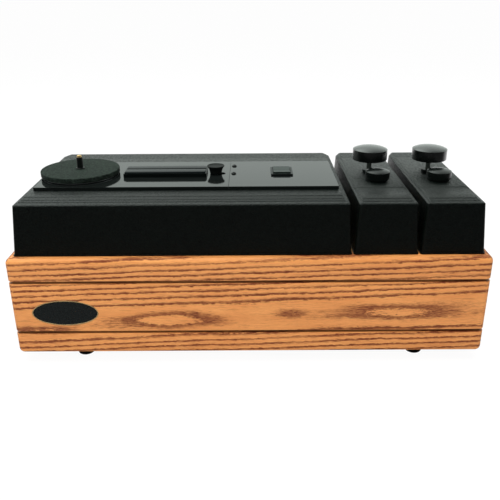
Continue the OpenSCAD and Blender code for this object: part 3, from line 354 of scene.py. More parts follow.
def board(name, turn, material, steps=6):
    """The section carried along one side of the cabinet: half a corner's arc, the straight side
    and half of the next corner's arc. Depth shrinks the arc, then moves it in on the mitre."""
    half = cab_hi[:2] if turn % 2 == 0 else cab_hi[1::-1]
    section = board_profile()
    depth, height = section[:, 0], section[:, 1]
    corner = np.radians([*np.linspace(225, 270, steps), *np.linspace(270, 315, steps)])
    sign = np.repeat([-1, 1], steps)
    radius, beyond = np.maximum(0, ARRIS - depth), np.maximum(0, depth - ARRIS)
    x = sign[:, None] * (half[0] - ARRIS - beyond) + np.cos(corner)[:, None] * radius
    y = -half[1] + ARRIS + beyond + np.sin(corner)[:, None] * radius
    z = np.broadcast_to(height, x.shape)
    c, s = round(math.cos(turn * math.pi / 2)), round(math.sin(turn * math.pi / 2))
    points = np.stack([c * x - s * y, s * x + c * y, z], -1)
    return put(name, points, tube_faces(2 * steps, len(section)), material, "cabinet",
               [name], 30)


half_x, half_y = cab_hi[0], cab_hi[1]
front = board("front_board", 0, oak("oak_front", 0, -half_y, [
    (-80, 53, 56, 10, 1.0), (156, 61, 62, 9, 0.78), (46, 60, 16, 6, 0.5), (-225, 42, 40, 6, 0.6)]))
board("right_board", 1, oak("oak_right", 1, half_x, [(-30, 55, 44, 9, 0.95), (86, 60, 26, 6, 0.6)]))
back = board("back_board", 2, oak("oak_back", 0, half_y, [
    (60, 58, 56, 8, 0.9), (-140, 51, 50, 9, 0.95), (204, 63, 30, 6, 0.6)]))
board("left_board", 3, oak("oak_left", 1, -half_x, [(42, 58, 46, 9, 0.95), (-70, 53, 26, 6, 0.5)]))

badge_lo, badge_hi = place_of("badge")
(badge_x, _, badge_z), (badge_rx, _, badge_rz) = middle_of("badge"), half_of("badge")
BADGE_PLAY, GRILLE_PLAY, PAST = 0.1, 0.3, 1
cut(front, prism(ellipse(badge_x, badge_z, badge_rx + BADGE_PLAY, badge_rz + BADGE_PLAY), 1,
                 badge_lo[1] - 2 * PAST, badge_hi[1]))

grille = place_of("vent_grille")
gland_x, _, gland_z = middle_of("cord_gland")
plug_x, _, plug_z = middle_of("drain_plug")
inside, outside, grille_back = cab_hi[1] - BOARD - PAST, cab_hi[1] + PAST, grille[0][1]
DUCT_RIM, POCKET_R, POCKET_FLOOR, SPOUT_R = 4, 11, cab_hi[1] - 8, 8.3
GLAND_R, SEAT, SEAT_FLOOR = 8.02, 3.28, cab_hi[1] - 3
cut(back,
    window(grille, -GRILLE_PLAY, 1, grille_back, outside),
    window(grille, DUCT_RIM, 1, inside, grille_back + PAST),
    hole(plug_x, plug_z, POCKET_R, 1, POCKET_FLOOR, outside),
    hole(plug_x, plug_z, SPOUT_R, 1, inside, POCKET_FLOOR + PAST),
    hole(gland_x, gland_z, GLAND_R + SEAT, 1, SEAT_FLOOR, outside),
    hole(gland_x, gland_z, GLAND_R, 1, inside, SEAT_FLOOR + PAST))


# Woodwork inside the cabinet. Birch plywood base board, glued corner blocks, rails under
# the gaps between the covers and the strips that the covers are screwed to. Left bare.
def plywood_paint(place):
    """Pale wood with fine grain, and the darker glue lines of the plies every 1.5 mm of height,
    which is one turn of the sine."""
    plies = (place.xyz()[2] * 4200).math("SINE").smooth(0.2, 1.0)
    grain = place.stretched(40, 900, 900).noise(1, 3, 0.6)
    colour = (grain * 0.8 + plies * 0.35).mixed(linear(214, 184, 138), linear(168, 128, 84))
    return {"Base Color": colour, "Roughness": 0.62 + grain * 0.2,
            "Normal": grain.bumped(0.0002, 0.4)}


plywood = finish_material("plywood", plywood_paint, Specular_IOR_Level=0.3)


def dress(material, *names):
    """Gives CAD nodes whose shapes stay their finish."""
    for name in names:
        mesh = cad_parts[name].data
        mesh.materials.clear()
        mesh.materials.append(material)


dress(plywood, "base_board", "corner_blocks", "cross_rails", "cover_cleats")


# Rubber feet. Four moulded cups with a slight taper and rounded rims, each screwed to the
# base board through its web.
def rubber_paint(place):
    """Matt black with faint mould bloom and a fine uneven skin."""
    return place.noise(70, 3).mottled((4, 6, 5), (12, 15, 14), 0.55, 0.25,
                                      Normal=place.noise(2600, 2).bumped(0.00012, 0.5))


rubber = finish_material("rubber", rubber_paint, Specular_IOR_Level=0.18)


def turned(name, x, y, outline, material, body, replaces=(), steps=96, sharp=35):
    """A surface of revolution: an outline of (radius, height) points from axis to axis, turned
    about the vertical line at (x, y)."""
    outline = np.asarray(outline, float)
    turn = np.linspace(0, 2 * np.pi, steps, endpoint=False)
    r, h = outline[:, 0][:, None], outline[:, 1][:, None] + 0 * turn
    points = np.stack([x + r * np.cos(turn), y + r * np.sin(turn), h], -1)
    return put(name, points, [grid_faces(len(outline), steps, closed=True)], material, body,
               replaces, sharp)


def rounded_outline(corners):
    """An outline whose corners, each (radius, height, rounding), are replaced by arcs that touch
    both neighbouring sides. A rounding of 0 leaves the corner as it is."""
    corners = np.asarray(corners, float)
    out = [corners[0, :2]]
    for before, here, after in zip(corners[:-2], corners[1:-1], corners[2:]):
        p, r = here[:2], here[2]
        if r == 0:
            out.append(p)
            continue
        a, b = before[:2] - p, after[:2] - p
        a, b = a / np.hypot(*a), b / np.hypot(*b)
        half = math.acos(np.clip(a @ b, -1, 1)) / 2
        reach = r / math.tan(half)
        centre = p + (a + b) / np.hypot(*(a + b)) * r / math.sin(half)
        s, t = p + a * reach - centre, p + b * reach - centre
        for k in np.linspace(0, 1, 6):
            v = s * (1 - k) + t * k
            out.append(centre + v / np.hypot(*v) * r)
    out.append(corners[-1, :2])
    return np.array(out)


feet_lo, feet_hi = place_of("rubber_feet")
FOOT_R, FOOT_TAPER, FOOT_HOLE, FOOT_WEB, FOOT_BORE = 9.7, 0.8, 4.5, 4, 1.82
foot_top = feet_hi[2]
foot_outline = rounded_outline([
    (FOOT_BORE, foot_top, 0), (FOOT_R, foot_top, 0.6), (FOOT_R - FOOT_TAPER, 0, 1.6),
    (FOOT_HOLE, 0, 0.6), (FOOT_HOLE, foot_top - FOOT_WEB, 0.8),
    (FOOT_BORE, foot_top - FOOT_WEB, 0), (FOOT_BORE, foot_top, 0)])
feet = []
for fx in (feet_lo[0] + FOOT_R, feet_hi[0] - FOOT_R):
    for fy in (feet_lo[1] + FOOT_R, feet_hi[1] - FOOT_R):
        feet.append(turned(f"foot_{len(feet) + 1}", fx, fy, foot_outline, rubber, "cabinet",
                           ["rubber_feet"], steps=64))


# Badge. A thin black plate with a narrow pale gold border, let into the front board with
# its face flush. It is left bare.
def badge_paint(place):
    """Black gloss with the faint mottle of a printed plate."""
    return place.noise(400, 3).mottled((12, 17, 17), (18, 24, 24), 0.22, 0.12)


def gold_paint(place):
    """Pale gold with fine wear."""
    return place.noise(900, 3).mottled((226, 196, 142), (176, 146, 96), 0.3, 0.2)


badge_black = finish_material("badge_black", badge_paint)
gold = finish_material("gold", gold_paint, Metallic=0.6)
BORDER, PLATE_HALF, FIELD_END = 1.02, 0.5, badge_rz * 0.6


def badge_plate(n=120):
    """Nested ellipses: the plate's back, its edge, the raised border and the sunk black field,
    each as (inset from the edge, depth behind the face)."""
    rings = [(0, 1.0), (0, 0.15), (0.12, 0.02), (0.2, 0.0), (0.95, 0.0), (1.05, 0.06),
             (1.1, 0.12), (FIELD_END, 0.12)]
    loops = [np.insert(ellipse(badge_x, badge_z, badge_rx - i, badge_rz - i, n), 1,
                       badge_lo[1] + d, axis=1) for i, d in rings]
    plate = put("badge", loops, tube_faces(len(rings), n), [badge_black, gold],
                "cabinet", ["badge"], 30)
    centres = np.array([f.center for f in plate.data.polygons]) / MM
    inset = 1 - np.hypot((centres[:, 0] - badge_x) / badge_rx, (centres[:, 2] - badge_z) / badge_rz)
    border = (inset * badge_rz < BORDER) & (centres[:, 1] < badge_lo[1] + PLATE_HALF)
    plate.data.polygons.foreach_set("material_index", border.astype(int))


badge_plate()


# Covers. Three vacuum-formed shells of black ABS with a fine leather grain: a wide one for
# the machine and one for each fluid module. The walls lean in, the top edges are softly
# rounded, the back corners are cut off and the tops have small moulded steps.
def grain_paint(place):
    """Leather grain: pebbles about 1.5 mm wide with fine pits between, whose crowns are worn a
    little smoother. The colour is paler on the crowns than in the pits. Slow patches are where the
    sheet was stretched."""
    cells = place.node("ShaderNodeTexVoronoi", {"Vector": place, "Scale": 620, "Randomness": 1},
                       {"feature": "SMOOTH_F1"}, out="Distance")
    fine = place.noise(1000, 3, 0.75)
    patches = place.noise(14, 2)
    crown = 1 - cells.smooth(0.15, 0.75)
    height = crown * 0.8 + fine * 0.5
    tint = (crown * 0.4 + fine.smooth(0.4, 0.64) * 0.6).mixed(linear(0, 1, 1), linear(11, 17, 14))
    return {"Base Color": tint, "Roughness": 0.48 - crown * 0.22 + patches * 0.08,
            "Normal": height.bumped(0.00045, 0.8)}


leather_abs = finish_material("leather_abs", grain_paint, Specular_IOR_Level=0.21)

COVER_H, TOP_RISE, WALL, FLANGE, FLANGE_T = 54.5, 1.5, 3, 0.8, 1.6
LEAN_FRONT, CORNER_X, CORNER_Y, CORNER_FADE = 5, 6, 14, 24
SIDE_ROUND, TOP_ROUND, STEP_SOFT, FADE_LINE = 3, 1.7, 0.32, 30
BRIM_ZONE, BRIM_SHARE, BRIM_SOFT = 16, 0.9, 0.3
EASE = np.array([0, 0.12, 0.3, 0.55, 0.78, 1])


def step_up(distance):
    """0 below minus the softness, 1 above it and a smooth rise between."""
    t = np.clip(distance / STEP_SOFT / 2 + 0.5, 0, 1)
    return t * t * (3 - 2 * t)


def cover_surface(box, leans, steps, inset, rise):
    """The outer or inner surface of a cover as one sheet of points: a grid over its top, then
    rings down its walls. A point of a plain box is pulled onto a rounded box, raised by the
    steps, leaned outwards with its depth and squeezed in at the cut back corners."""
    (x0, y0, z0), (x1, y1, z1) = box
    low = np.array([x0 + leans[0] + inset, y0 + LEAN_FRONT + inset])
    high = np.array([x1 - leans[1] - inset, y1 - LEAN_FRONT - inset])
    rim = z1 - TOP_RISE - inset
    lines = []
    for axis in (0, 1):
        near, far = [s[1 - axis] for s in steps], [s[1 + axis] for s in steps]
        soft = np.array([-1, -0.5, 0, 0.5, 1]) * STEP_SOFT
        span = high[axis] - low[axis]
        at = np.concatenate([EASE * SIDE_ROUND, *[n + soft for n in near],
                             span - EASE * SIDE_ROUND, *[span - f - soft for f in far],
                             [FADE_LINE, span - FADE_LINE, span - CORNER_Y]])
        lines.append(np.unique(np.round(at, 3)))
    u, v = np.meshgrid(lines[0] + low[0], lines[1] + low[1], indexing="ij")
    nu, nv = u.shape
    top = np.stack([u, v, np.full_like(u, rim)], -1).reshape(-1, 3)
    number = np.arange(nu * nv).reshape(nu, nv)
    ring = np.concatenate([number[:, 0], number[-1, 1:], number[-2::-1, -1], number[0, -2:0:-1]])
    foot = z0 + FLANGE_T - rim
    depths = np.concatenate([-EASE[1:] * TOP_ROUND, np.linspace(-TOP_ROUND, foot, 9)[1:]])
    walls = np.repeat(top[ring][None], len(depths), 0)
    walls[..., 2] += depths[:, None]
    points = np.vstack([top, walls.reshape(-1, 3)])

    rounding = np.array([SIDE_ROUND, SIDE_ROUND, TOP_ROUND])
    floor = np.array([low[0] + SIDE_ROUND, low[1] + SIDE_ROUND, -1e3])
    ceiling = np.array([high[0] - SIDE_ROUND, high[1] - SIDE_ROUND, rim - TOP_ROUND])
    inner = np.clip(points, floor, ceiling)
    way = (points - inner) / rounding
    long = np.linalg.norm(way, axis=1, keepdims=True)
    way = np.divide(way, long, out=np.zeros_like(way), where=long > 0)
    raised = sum(step_up(points[:, 0] - low[0] - s[1]) * step_up(high[0] - s[1] - points[:, 0])
                 * step_up(points[:, 1] - low[1] - s[0]) * step_up(high[1] - s[2] - points[:, 1])
                 for s in steps) * rise / len(steps)
    points = inner + rounding * way
    points[:, 2] += raised * np.clip(way[:, 2], 0, 1)

    middle, half = (low + high) / 2, (high - low) / 2
    depth = np.clip(rim - points[:, 2], 0, None) / COVER_H
    share = (points[:, :2] - middle) / half
    lean_x = np.where(share[:, 0] < 0, leans[0], leans[1])
    points[:, 0] += share[:, 0] * lean_x * depth
    points[:, 1] += share[:, 1] * LEAN_FRONT * depth
    back = high[1] + LEAN_FRONT * depth
    into = np.clip((points[:, 1] - back + CORNER_Y) / CORNER_Y, 0, 1)
    edge = half[0] + lean_x * depth
    near = np.clip((np.abs(points[:, 0] - middle[0]) - edge + CORNER_FADE) / CORNER_FADE, 0, 1)
    points[:, 0] -= np.sign(share[:, 0]) * CORNER_X * into * near
    return points, (nu, nv), ring, len(depths)


def cover(name, leans, steps):
    """Outer surface, foot flange and inner surface of one cover, joined at the foot."""
    lo, hi = place_of(name)
    box = (lo + [FLANGE, FLANGE, 0], hi - [FLANGE, FLANGE, 0])
    outer, (nu, nv), ring, levels = cover_surface(box, leans, steps, 0, TOP_RISE)
    inner, _, _, _ = cover_surface(box, leans, steps, WALL, 0)
    count, m = len(outer), len(ring)
    start = nu * nv
    last = start + (levels - 1) * m
    foot = outer[last:].copy()
    outward = foot[:, :2] - (box[0][:2] + box[1][:2]) / 2
    outward = np.sign(outward) * (np.abs(outward) > (box[1][:2] - box[0][:2]) / 2 - BRIM_ZONE)
    brim = np.stack([foot] * 3)
    brim[0, :, :2] += outward * FLANGE * BRIM_SHARE
    brim[1:, :, :2] += outward * FLANGE
    brim[1, :, 2] -= BRIM_SOFT
    brim[2, :, 2] = box[0][2]
    inner_foot = inner[last:].copy()
    inner_foot[:, 2] = box[0][2]
    points = np.vstack([outer, *brim, inner_foot, inner])
    added = len(brim) + 1
    shift = count + added * m
    first = np.arange(start, start + m)
    pair = np.stack([ring, np.roll(ring, -1), np.roll(first, -1), first], -1)
    faces = [grid_faces(nu, nv), pair, grid_faces(levels + added, m, start, closed=True)]
    faces += [faces[0] + shift, pair + shift, grid_faces(levels, m, start + shift, closed=True)]
    a, b = np.arange(m), np.roll(np.arange(m), -1)
    low_ring, high_ring = shift - m, shift + last
    faces.append(np.stack([low_ring + a, low_ring + b, high_ring + b, high_ring + a], -1))
    return put(name, points, faces, leather_abs, "cabinet", [name], 38)


main_cover = cover("main_cover", (4, 3), [[8, 4, 31], [14, 4.8, 31.8], [23, 5.5, 40]])
module_steps = [[6, 4, 31], [14, 4.8, 31.8], [51, 1.4, 40]]
module_covers = [cover("reservoir_cover_1", (3, 3), module_steps),
                 cover("reservoir_cover_2", (3, 4), module_steps)]

platter_x, axis_y, _ = middle_of("platter_mat")
capstan_x, screw_x = middle_of("capstan_roller")[0], middle_of("carriage_nuts")[0]
panel_lo, panel_hi = place_of("left_panel")
nuts_lo, nuts_hi = place_of("carriage_nuts")
NUT_HALF, SPINDLE_HOLE, SCREW_HOLE, FRAME_LAP = 4.2, 6.02, 2.52, 0.7
DUCT_LEFT, DUCT_RIGHT, DUCT_HALF = -135, -55, 12
SLOT_LEFT, SLOT_RIGHT, SLOT_HALF = 5, 11, 6
screw_ys = (nuts_lo[1] + NUT_HALF, nuts_hi[1] - NUT_HALF)
under, over = panel_lo[2] - 8, panel_lo[2] + 2
duct_hole = rectangle(DUCT_LEFT, DUCT_RIGHT, axis_y - DUCT_HALF, axis_y + DUCT_HALF)
drive_slot = rectangle(capstan_x - SLOT_LEFT, capstan_x + SLOT_RIGHT,
                       axis_y - SLOT_HALF, axis_y + SLOT_HALF)
cut(main_cover,
    hole(platter_x, axis_y, SPINDLE_HOLE, 2, under, over, 48),
    prism(duct_hole, 2, under, over),
    prism(drive_slot, 2, under, over),
    window(place_of("switch_body"), FRAME_LAP, 2, under, over),
    *[hole(screw_x, y, SCREW_HOLE, 2, under, over, 32) for y in screw_ys])


# Glossy panels. Two 3.5 mm plates of black acrylic, polished on top, that sit on the main
# cover and meet at a seam beside the drive.
def acrylic_paint(place):
    """Deep black gloss with a faint haze of fine wiping marks and dust."""
    haze = place.stretched(20, 260, 260).noise(1, 3)
    dust = place.noise(700, 2).smooth(0.70, 0.78)
    return {"Base Color": (haze * 0.6 + dust * 0.4).mixed(linear(10, 13, 12), linear(30, 34, 33)),
            "Roughness": 0.05 + haze * 0.05 + dust * 0.15}


acrylic = finish_material("acrylic", acrylic_paint, Specular_IOR_Level=0.42)


def softened(node, width, material, body, segments=3, angle=40):
    """A merged copy of a CAD node with its sharp edges rounded by that width in millimetres."""
    piece = bpy.data.objects.new(f"{node}_soft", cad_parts[node].data.copy())
    bpy.context.scene.collection.objects.link(piece)
    work = bmesh.new()
    work.from_mesh(piece.data)
    bmesh.ops.remove_doubles(work, verts=work.verts, dist=1e-6)
    bmesh.ops.dissolve_limit(work, angle_limit=math.radians(1), verts=work.verts, edges=work.edges)
    work.to_mesh(piece.data)
    work.free()
    piece.data.materials.clear()
    piece.data.materials.append(material)
    edge = piece.modifiers.new("soft edges", "BEVEL")
    edge.width, edge.segments, edge.limit_method = width * MM, segments, "ANGLE"
    edge.angle_limit = math.radians(angle)
    settle(piece, 35)
    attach(piece, body)
    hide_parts(node)
    return piece


softened("left_panel", 0.3, acrylic, "cabinet")
softened("right_panel", 0.3, acrylic, "cabinet")


# Platter. A thin pale disc under a thick mat of dense black foam rubber with a pebbled
# skin, on a spindle whose black sleeve leaves a brass tip.
def mat_paint(place):
    """Dark grey skin with coarse speckle, as foam rubber has."""
    speckle = place.noise(360, 4, 0.85)
    cells = place.noise(1500, 2)
    tone = (speckle * 4.2 - 1.7).mixed(linear(3, 8, 6), linear(43, 53, 46))
    return {"Base Color": tone, "Roughness": 0.72 + speckle * 0.2,
            "Normal": (speckle * 0.6 + cells * 0.4).bumped(0.0003, 0.9)}


mat_rubber = finish_material("mat_rubber", mat_paint, Specular_IOR_Level=0.15)
mat_lo, mat_hi = place_of("platter_mat")
mat_r, MAT_HOLE = half_of("platter_mat")[0], 5.3
turned("platter_mat", platter_x, axis_y, rounded_outline([
    (MAT_HOLE, mat_lo[2], 0), (mat_r, mat_lo[2], 0.5), (mat_r, mat_hi[2], 0.9),
    (MAT_HOLE, mat_hi[2], 0.3), (MAT_HOLE, mat_lo[2], 0)]),
    mat_rubber, "turntable", ["platter_mat"], steps=160)


def alloy_paint(place):
    """Turned metal: fine rings about the upright axis come from stretched noise."""
    rings = place.stretched(900, 900, 60).noise(1, 2)
    return rings.mottled((196, 199, 200), (150, 154, 156), 0.28, 0.2)


alloy = finish_material("alloy", alloy_paint, Metallic=0.9)
dress(alloy, "platter", "impeller")


def brass_paint(place):
    """Turned brass, slightly darkened in patches."""
    return place.noise(500, 3).mottled((236, 204, 146), (188, 150, 88), 0.25, 0.2)


brass = finish_material("brass", brass_paint, Metallic=0.85)
dress(brass, "spindle_bushing", "drive_pinion")


def black_steel_paint(place):
    """Black oxide on steel with oily patches."""
    return place.noise(300, 3).mottled((3, 5, 5), (10, 13, 12), 0.34, 0.2)


black_steel = finish_material("black_steel", black_steel_paint, Specular_IOR_Level=0.3)
pin_lo, pin_hi = place_of("spindle")
COLLAR_R, COLLAR_T, PIN_R, SHAFT_R = 5, 1, 3.55, 3
TIP, TIP_FOOT_R, TIP_R = 2.2, 2.7, 2.5
sleeve_top, collar_top = pin_hi[2] - TIP, mat_hi[2] + COLLAR_T
clip_r, clip_low, clip_high = SHAFT_R + 1.6, pin_lo[2] + 1.6, pin_lo[2] + 3.6
spindle = turned("spindle", platter_x, axis_y, rounded_outline([
    (0, pin_lo[2], 0), (SHAFT_R, pin_lo[2], 0.4), (SHAFT_R, clip_low, 0), (clip_r, clip_low, 0.2),
    (clip_r, clip_high, 0.2), (SHAFT_R, clip_high, 0), (SHAFT_R, mat_lo[2], 0),
    (COLLAR_R, mat_lo[2], 0), (COLLAR_R, collar_top, 0.35), (PIN_R, collar_top, 0.2),
    (PIN_R, sleeve_top, 0.5), (TIP_FOOT_R, sleeve_top, 0.1), (TIP_R, pin_hi[2], 0.8),
    (0, pin_hi[2], 0)]), [black_steel, brass], "turntable", ["spindle"], steps=64)
heights = np.array([f.center[2] for f in spindle.data.polygons]) / MM
spindle.data.polygons.foreach_set("material_index", (heights > sleeve_top + 0.05).astype(int))


# Suction slot. A black moulded bar with the duct below it, and two smooth satin lips with
# rounded edges, one on each side of the slit that the air goes into.
def satin_black_paint(place):
    """Injection-moulded black: a fine spark texture and slow changes of gloss."""
    spark = place.noise(2200, 2)
    slow = place.noise(30, 2)
    return {"Base Color": slow.mixed(linear(4, 8, 7), linear(10, 15, 14)),
            "Roughness": 0.30 + slow * 0.1 + spark * 0.05, "Normal": spark.bumped(0.00004, 0.5)}


satin_black = finish_material("satin_black", satin_black_paint, Specular_IOR_Level=0.2)
softened("slot_body", 0.35, satin_black, "cabinet")


def lip_paint(place):
    """Bluish black, smooth, with drawn lines along its length."""
    drawn = place.stretched(12, 900, 900).noise(1, 2)
    return drawn.mottled((6, 10, 11), (15, 20, 21), 0.16, 0.1)


lip_grey = finish_material("lip_grey", lip_paint, Specular_IOR_Level=0.07)
lip_lo, lip_hi = place_of("slot_lips")
SLIT, LIP_ROUND, END_ROUND = 1.8, 1.4, 0.7


def lip(name, y0, y1, replaces):
    """A rectangle with two round upper corners carried along the slot. Towards its ends it is
    drawn in by END_ROUND (1 - sin a), at END_ROUND (1 - cos a) from the end."""
    crest = lip_hi[2] - LIP_ROUND
    section = np.vstack([[(y0, lip_lo[2])], arc(y0 + LIP_ROUND, crest, LIP_ROUND, 180, 90, 8),
                         arc(y1 - LIP_ROUND, crest, LIP_ROUND, 90, 0, 8), [(y1, lip_lo[2])]])
    middle = np.array([(y0 + y1) / 2, lip_lo[2]])
    turn = np.radians(np.linspace(0, 90, 6))
    draw = END_ROUND * (1 - np.sin(turn))
    reach = END_ROUND * (1 - np.cos(turn))
    ends = np.sort(np.concatenate([lip_lo[0] + reach, lip_hi[0] - reach]))
    inset = np.concatenate([draw, draw[::-1]])
    scale = 1 - inset[:, None, None] / np.array([(y1 - y0) / 2, lip_hi[2] - lip_lo[2]])
    rings = middle + (section - middle)[None] * scale
    points = np.insert(rings.reshape(-1, 2), 0, np.repeat(ends, len(section)), axis=1)
    return put(name, points, tube_faces(len(ends), len(section)), lip_grey, "cabinet",
               replaces, 50)


lip("lip_front", lip_lo[1], axis_y - SLIT / 2, ["slot_lips"])
lip("lip_back", axis_y + SLIT / 2, lip_hi[1], ["slot_lips"])


# Drive capstan. A soft rubber roller that flares to a rim above the record's edge, pushed
# onto a steel shaft, and the two black button-head screws of the carriage beside it.
rol_lo, rol_hi = place_of("capstan_roller")
RIM_R, WAIST_R, RIM_T, DISH = half_of("capstan_roller")[0], 6.8, 0.9, 0.5
BORE_R, RIM_SOFT, RIM_WIDE, DISH_IN = 2.52, 0.35, 1.2, 2.2
rol_foot, rol_top, bore_top = rol_lo[2], rol_hi[2], rol_lo[2] + 7.2


def roller_side(n=14):
    """The roller's hollow side: r = waist + R - sqrt(R^2 - h^2) at height h, with the radius R
    at which it reaches the rim."""
    flare, tall = RIM_R - WAIST_R, rol_top - rol_foot - RIM_T
    hollow = (tall ** 2 + flare ** 2) / (2 * flare)
    h = np.linspace(0.4, tall, n)
    return np.column_stack([WAIST_R + hollow - np.sqrt(hollow ** 2 - h ** 2), rol_foot + h])


roller_outline = np.vstack([
    [(BORE_R, bore_top), (BORE_R, rol_foot), (WAIST_R - 0.4, rol_foot),
     (WAIST_R - 0.1, rol_foot + 0.1)],
    roller_side(),
    arc(RIM_R - RIM_SOFT, rol_top - RIM_SOFT, RIM_SOFT, 0, 90, 5),
    arc(RIM_R - RIM_WIDE, rol_top - RIM_SOFT, RIM_SOFT, 90, 160, 4),
    [(RIM_R - DISH_IN, rol_top - DISH), (3, rol_top - DISH - 0.05), (0, rol_top - DISH)],
    [(0, bore_top), (BORE_R, bore_top)]])
turned("capstan_roller", capstan_x, axis_y, roller_outline, rubber, "capstan",
       ["capstan_roller"], 96)


def zinc_paint(place):
    """Zinc plate: pale grey with a faint spangle."""
    return place.noise(240, 3).mottled((188, 190, 192), (138, 141, 144), 0.3, 0.22)


zinc = finish_material("zinc", zinc_paint, Metallic=0.9)
dress(zinc, "capstan_shaft", "carriage", "carriage_nuts", "base_screws", "pump_spring_1",
      "pump_spring_2")
dress(black_steel, "cover_screws")

stem_lo, stem_hi = place_of("carriage_screws")
HEAD_R, STEM_R, STEM_END_R, SOCKET, SOCKET_FLOOR = 2.9, 2.5, 2.2, 1.45, 0.5
DOME_AT, DOME_R, DOME_SQUASH = (0.8, 0.1), 2.1, 0.8
stem_foot, seat = stem_lo[2], panel_hi[2]
screw_outline = np.vstack([
    [(0, stem_foot), (STEM_END_R, stem_foot), (STEM_R, stem_foot + 0.4), (STEM_R, seat),
     (HEAD_R, seat)],
    arc(*DOME_AT, DOME_R, 0, 78, 8) * [1, DOME_SQUASH] + [0, seat],
    [(0, stem_hi[2])]])
for i, y in enumerate(screw_ys):
    head = turned(f"carriage_screw_{i + 1}", screw_x, y, screw_outline, black_steel, "cabinet",
                  ["carriage_screws"], 48)
    cut(head, hole(screw_x, y, SOCKET, 2, seat + SOCKET_FLOOR, stem_hi[2] + PAST, 6))


# Switch. A moulded frame let through the panel, and a grey rocker with a dished top that
# tilts forward for suction and back for the drive.
softened("switch_body", 0.3, satin_black, "cabinet")


def rocker_paint(place):
    """Dark greenish grey moulding with a fine texture."""
    spark = place.noise(2400, 2)
    slow = place.noise(60, 2)
    return {"Base Color": slow.mixed(linear(23, 30, 27), linear(36, 45, 41)),
            "Roughness": 0.35 + spark * 0.12, "Normal": spark.bumped(0.00005, 0.5)}


rocker_grey = finish_material("rocker_grey", rocker_paint, Specular_IOR_Level=0.3)
softened("rocker", 0.4, rocker_grey, "rocker")


# Pumps. Each has a big black knob with a domed top on a thin stem, which slides in a
# collar that stands on the module's cover.
def knob_paint(place):
    """Moulded black plastic with a soft gloss, a little uneven in slow patches."""
    return place.noise(45, 2).mottled((2, 4, 3), (6, 9, 8), 0.20, 0.1)


knob_black = finish_material("knob_black", knob_paint, Specular_IOR_Level=0.4, Coat_Weight=0.6,
                             Coat_Roughness=0.2)


def stem_paint(place):
    """Dull greenish grey rod."""
    drawn = place.stretched(400, 400, 60).noise(1, 2)
    return drawn.mottled((44, 52, 46), (64, 72, 66), 0.38, 0.15)


stem_grey = finish_material("stem_grey", stem_paint)
dress(stem_grey, "pump_plunger_1", "pump_plunger_2")
KNOB_CROWN, CROWN_IN = 3.6, 0.8


def crowned(r, z, rise, n=16):
    """Half outline of a domed top from its edge to its middle: radius r cos(a) and height
    z + rise sin(a)^1.5."""
    a = np.radians(np.linspace(0, 90, n))
    return np.column_stack([r * np.cos(a), z + rise * np.sin(a) ** 1.5])


for i in (1, 2):
    name = f"pump_knob_{i}"
    lo, hi = place_of(name)
    kx, ky, _ = middle_of(name)
    kr, rim = half_of(name)[0], hi[2] - KNOB_CROWN
    edge = rounded_outline([(0, lo[2], 0), (kr, lo[2], 1.0), (kr, rim, 0.5),
                            (kr - CROWN_IN, rim, 0)])
    outline = np.vstack([edge[:-1], crowned(kr - CROWN_IN, rim, KNOB_CROWN)])
    turned(name, kx, ky, outline, knob_black, f"pump_{i}", [name], 128, 50)
    softened(f"pump_barrel_{i}", 0.3, satin_black, "cabinet")


# Fillers. A screw cap on each module's neck: a plain skirt, drawn in at its foot, under a
# domed satin top. The cover is cut out for the neck and for the pump's collar.
def cap_paint(place):
    """Moulded black plastic, a little duller than the knobs."""
    return place.noise(60, 2).mottled((6, 9, 8), (12, 17, 15), 0.2, 0.1)


cap_black = finish_material("cap_black", cap_paint, Specular_IOR_Level=0.26, Coat_Weight=0.1,
                            Coat_Roughness=0.16)
CAP_CROWN, SKIRT_BORE, SKIRT_IN, SEAL_GAP = 2.4, 11.3, 0.8, 0.02
WAIST_TOP, SKIRT_FOOT, NECK_HOLE, COLLAR_HOLE = 0.9, 1.4, 11.1, 7.52
for i, module in enumerate(module_covers, 1):
    name = f"filler_cap_{i}"
    lo, hi = place_of(name)
    fx, fy, _ = middle_of(name)
    fr, rim = half_of(name)[0], hi[2] - CAP_CROWN
    seal_top = place_of(f"cap_seal_{i}")[1][2] + SEAL_GAP
    skirt = rounded_outline([
        (0, seal_top, 0), (SKIRT_BORE, seal_top, 0), (SKIRT_BORE, lo[2], 0),
        (fr - SKIRT_IN, lo[2], 0.2), (fr - SKIRT_IN, lo[2] + WAIST_TOP, 0.1),
        (fr, lo[2] + SKIRT_FOOT, 0.2), (fr, rim, 0.5), (fr - CROWN_IN, rim, 0)])
    outline = np.vstack([skirt[:-1], crowned(fr - CROWN_IN, rim, CAP_CROWN)])
    turned(name, fx, fy, outline, cap_black, f"cap_{i}", [name], 128, 50)
    knob_x, knob_y, _ = middle_of(f"pump_knob_{i}")
    cut(module, hole(fx, fy, NECK_HOLE, 2, under, over),
        hole(knob_x, knob_y, COLLAR_HOLE, 2, under, over))
dress(rubber, "cap_seal_1", "cap_seal_2", "isolators")


# Plumbing and power inside. A milky waste tank, clear tubes, black fluid tanks, the suction
# hose, the fan and its motor on rubber mounts, the drive's gearbox and motor and the wiring.
def tank_paint(place):
    """Milky polyethylene, cloudier in patches."""
    return place.noise(40, 3).mottled((226, 226, 218), (202, 204, 196), 0.35, 0.15)


def motor_paint(place):
    """Grey enamel with a light orange-peel skin."""
    peel = place.noise(600, 2)
    return peel.mottled((122, 125, 130), (104, 107, 112), 0.35, 0.1,
                        Normal=peel.bumped(0.0001, 0.3))


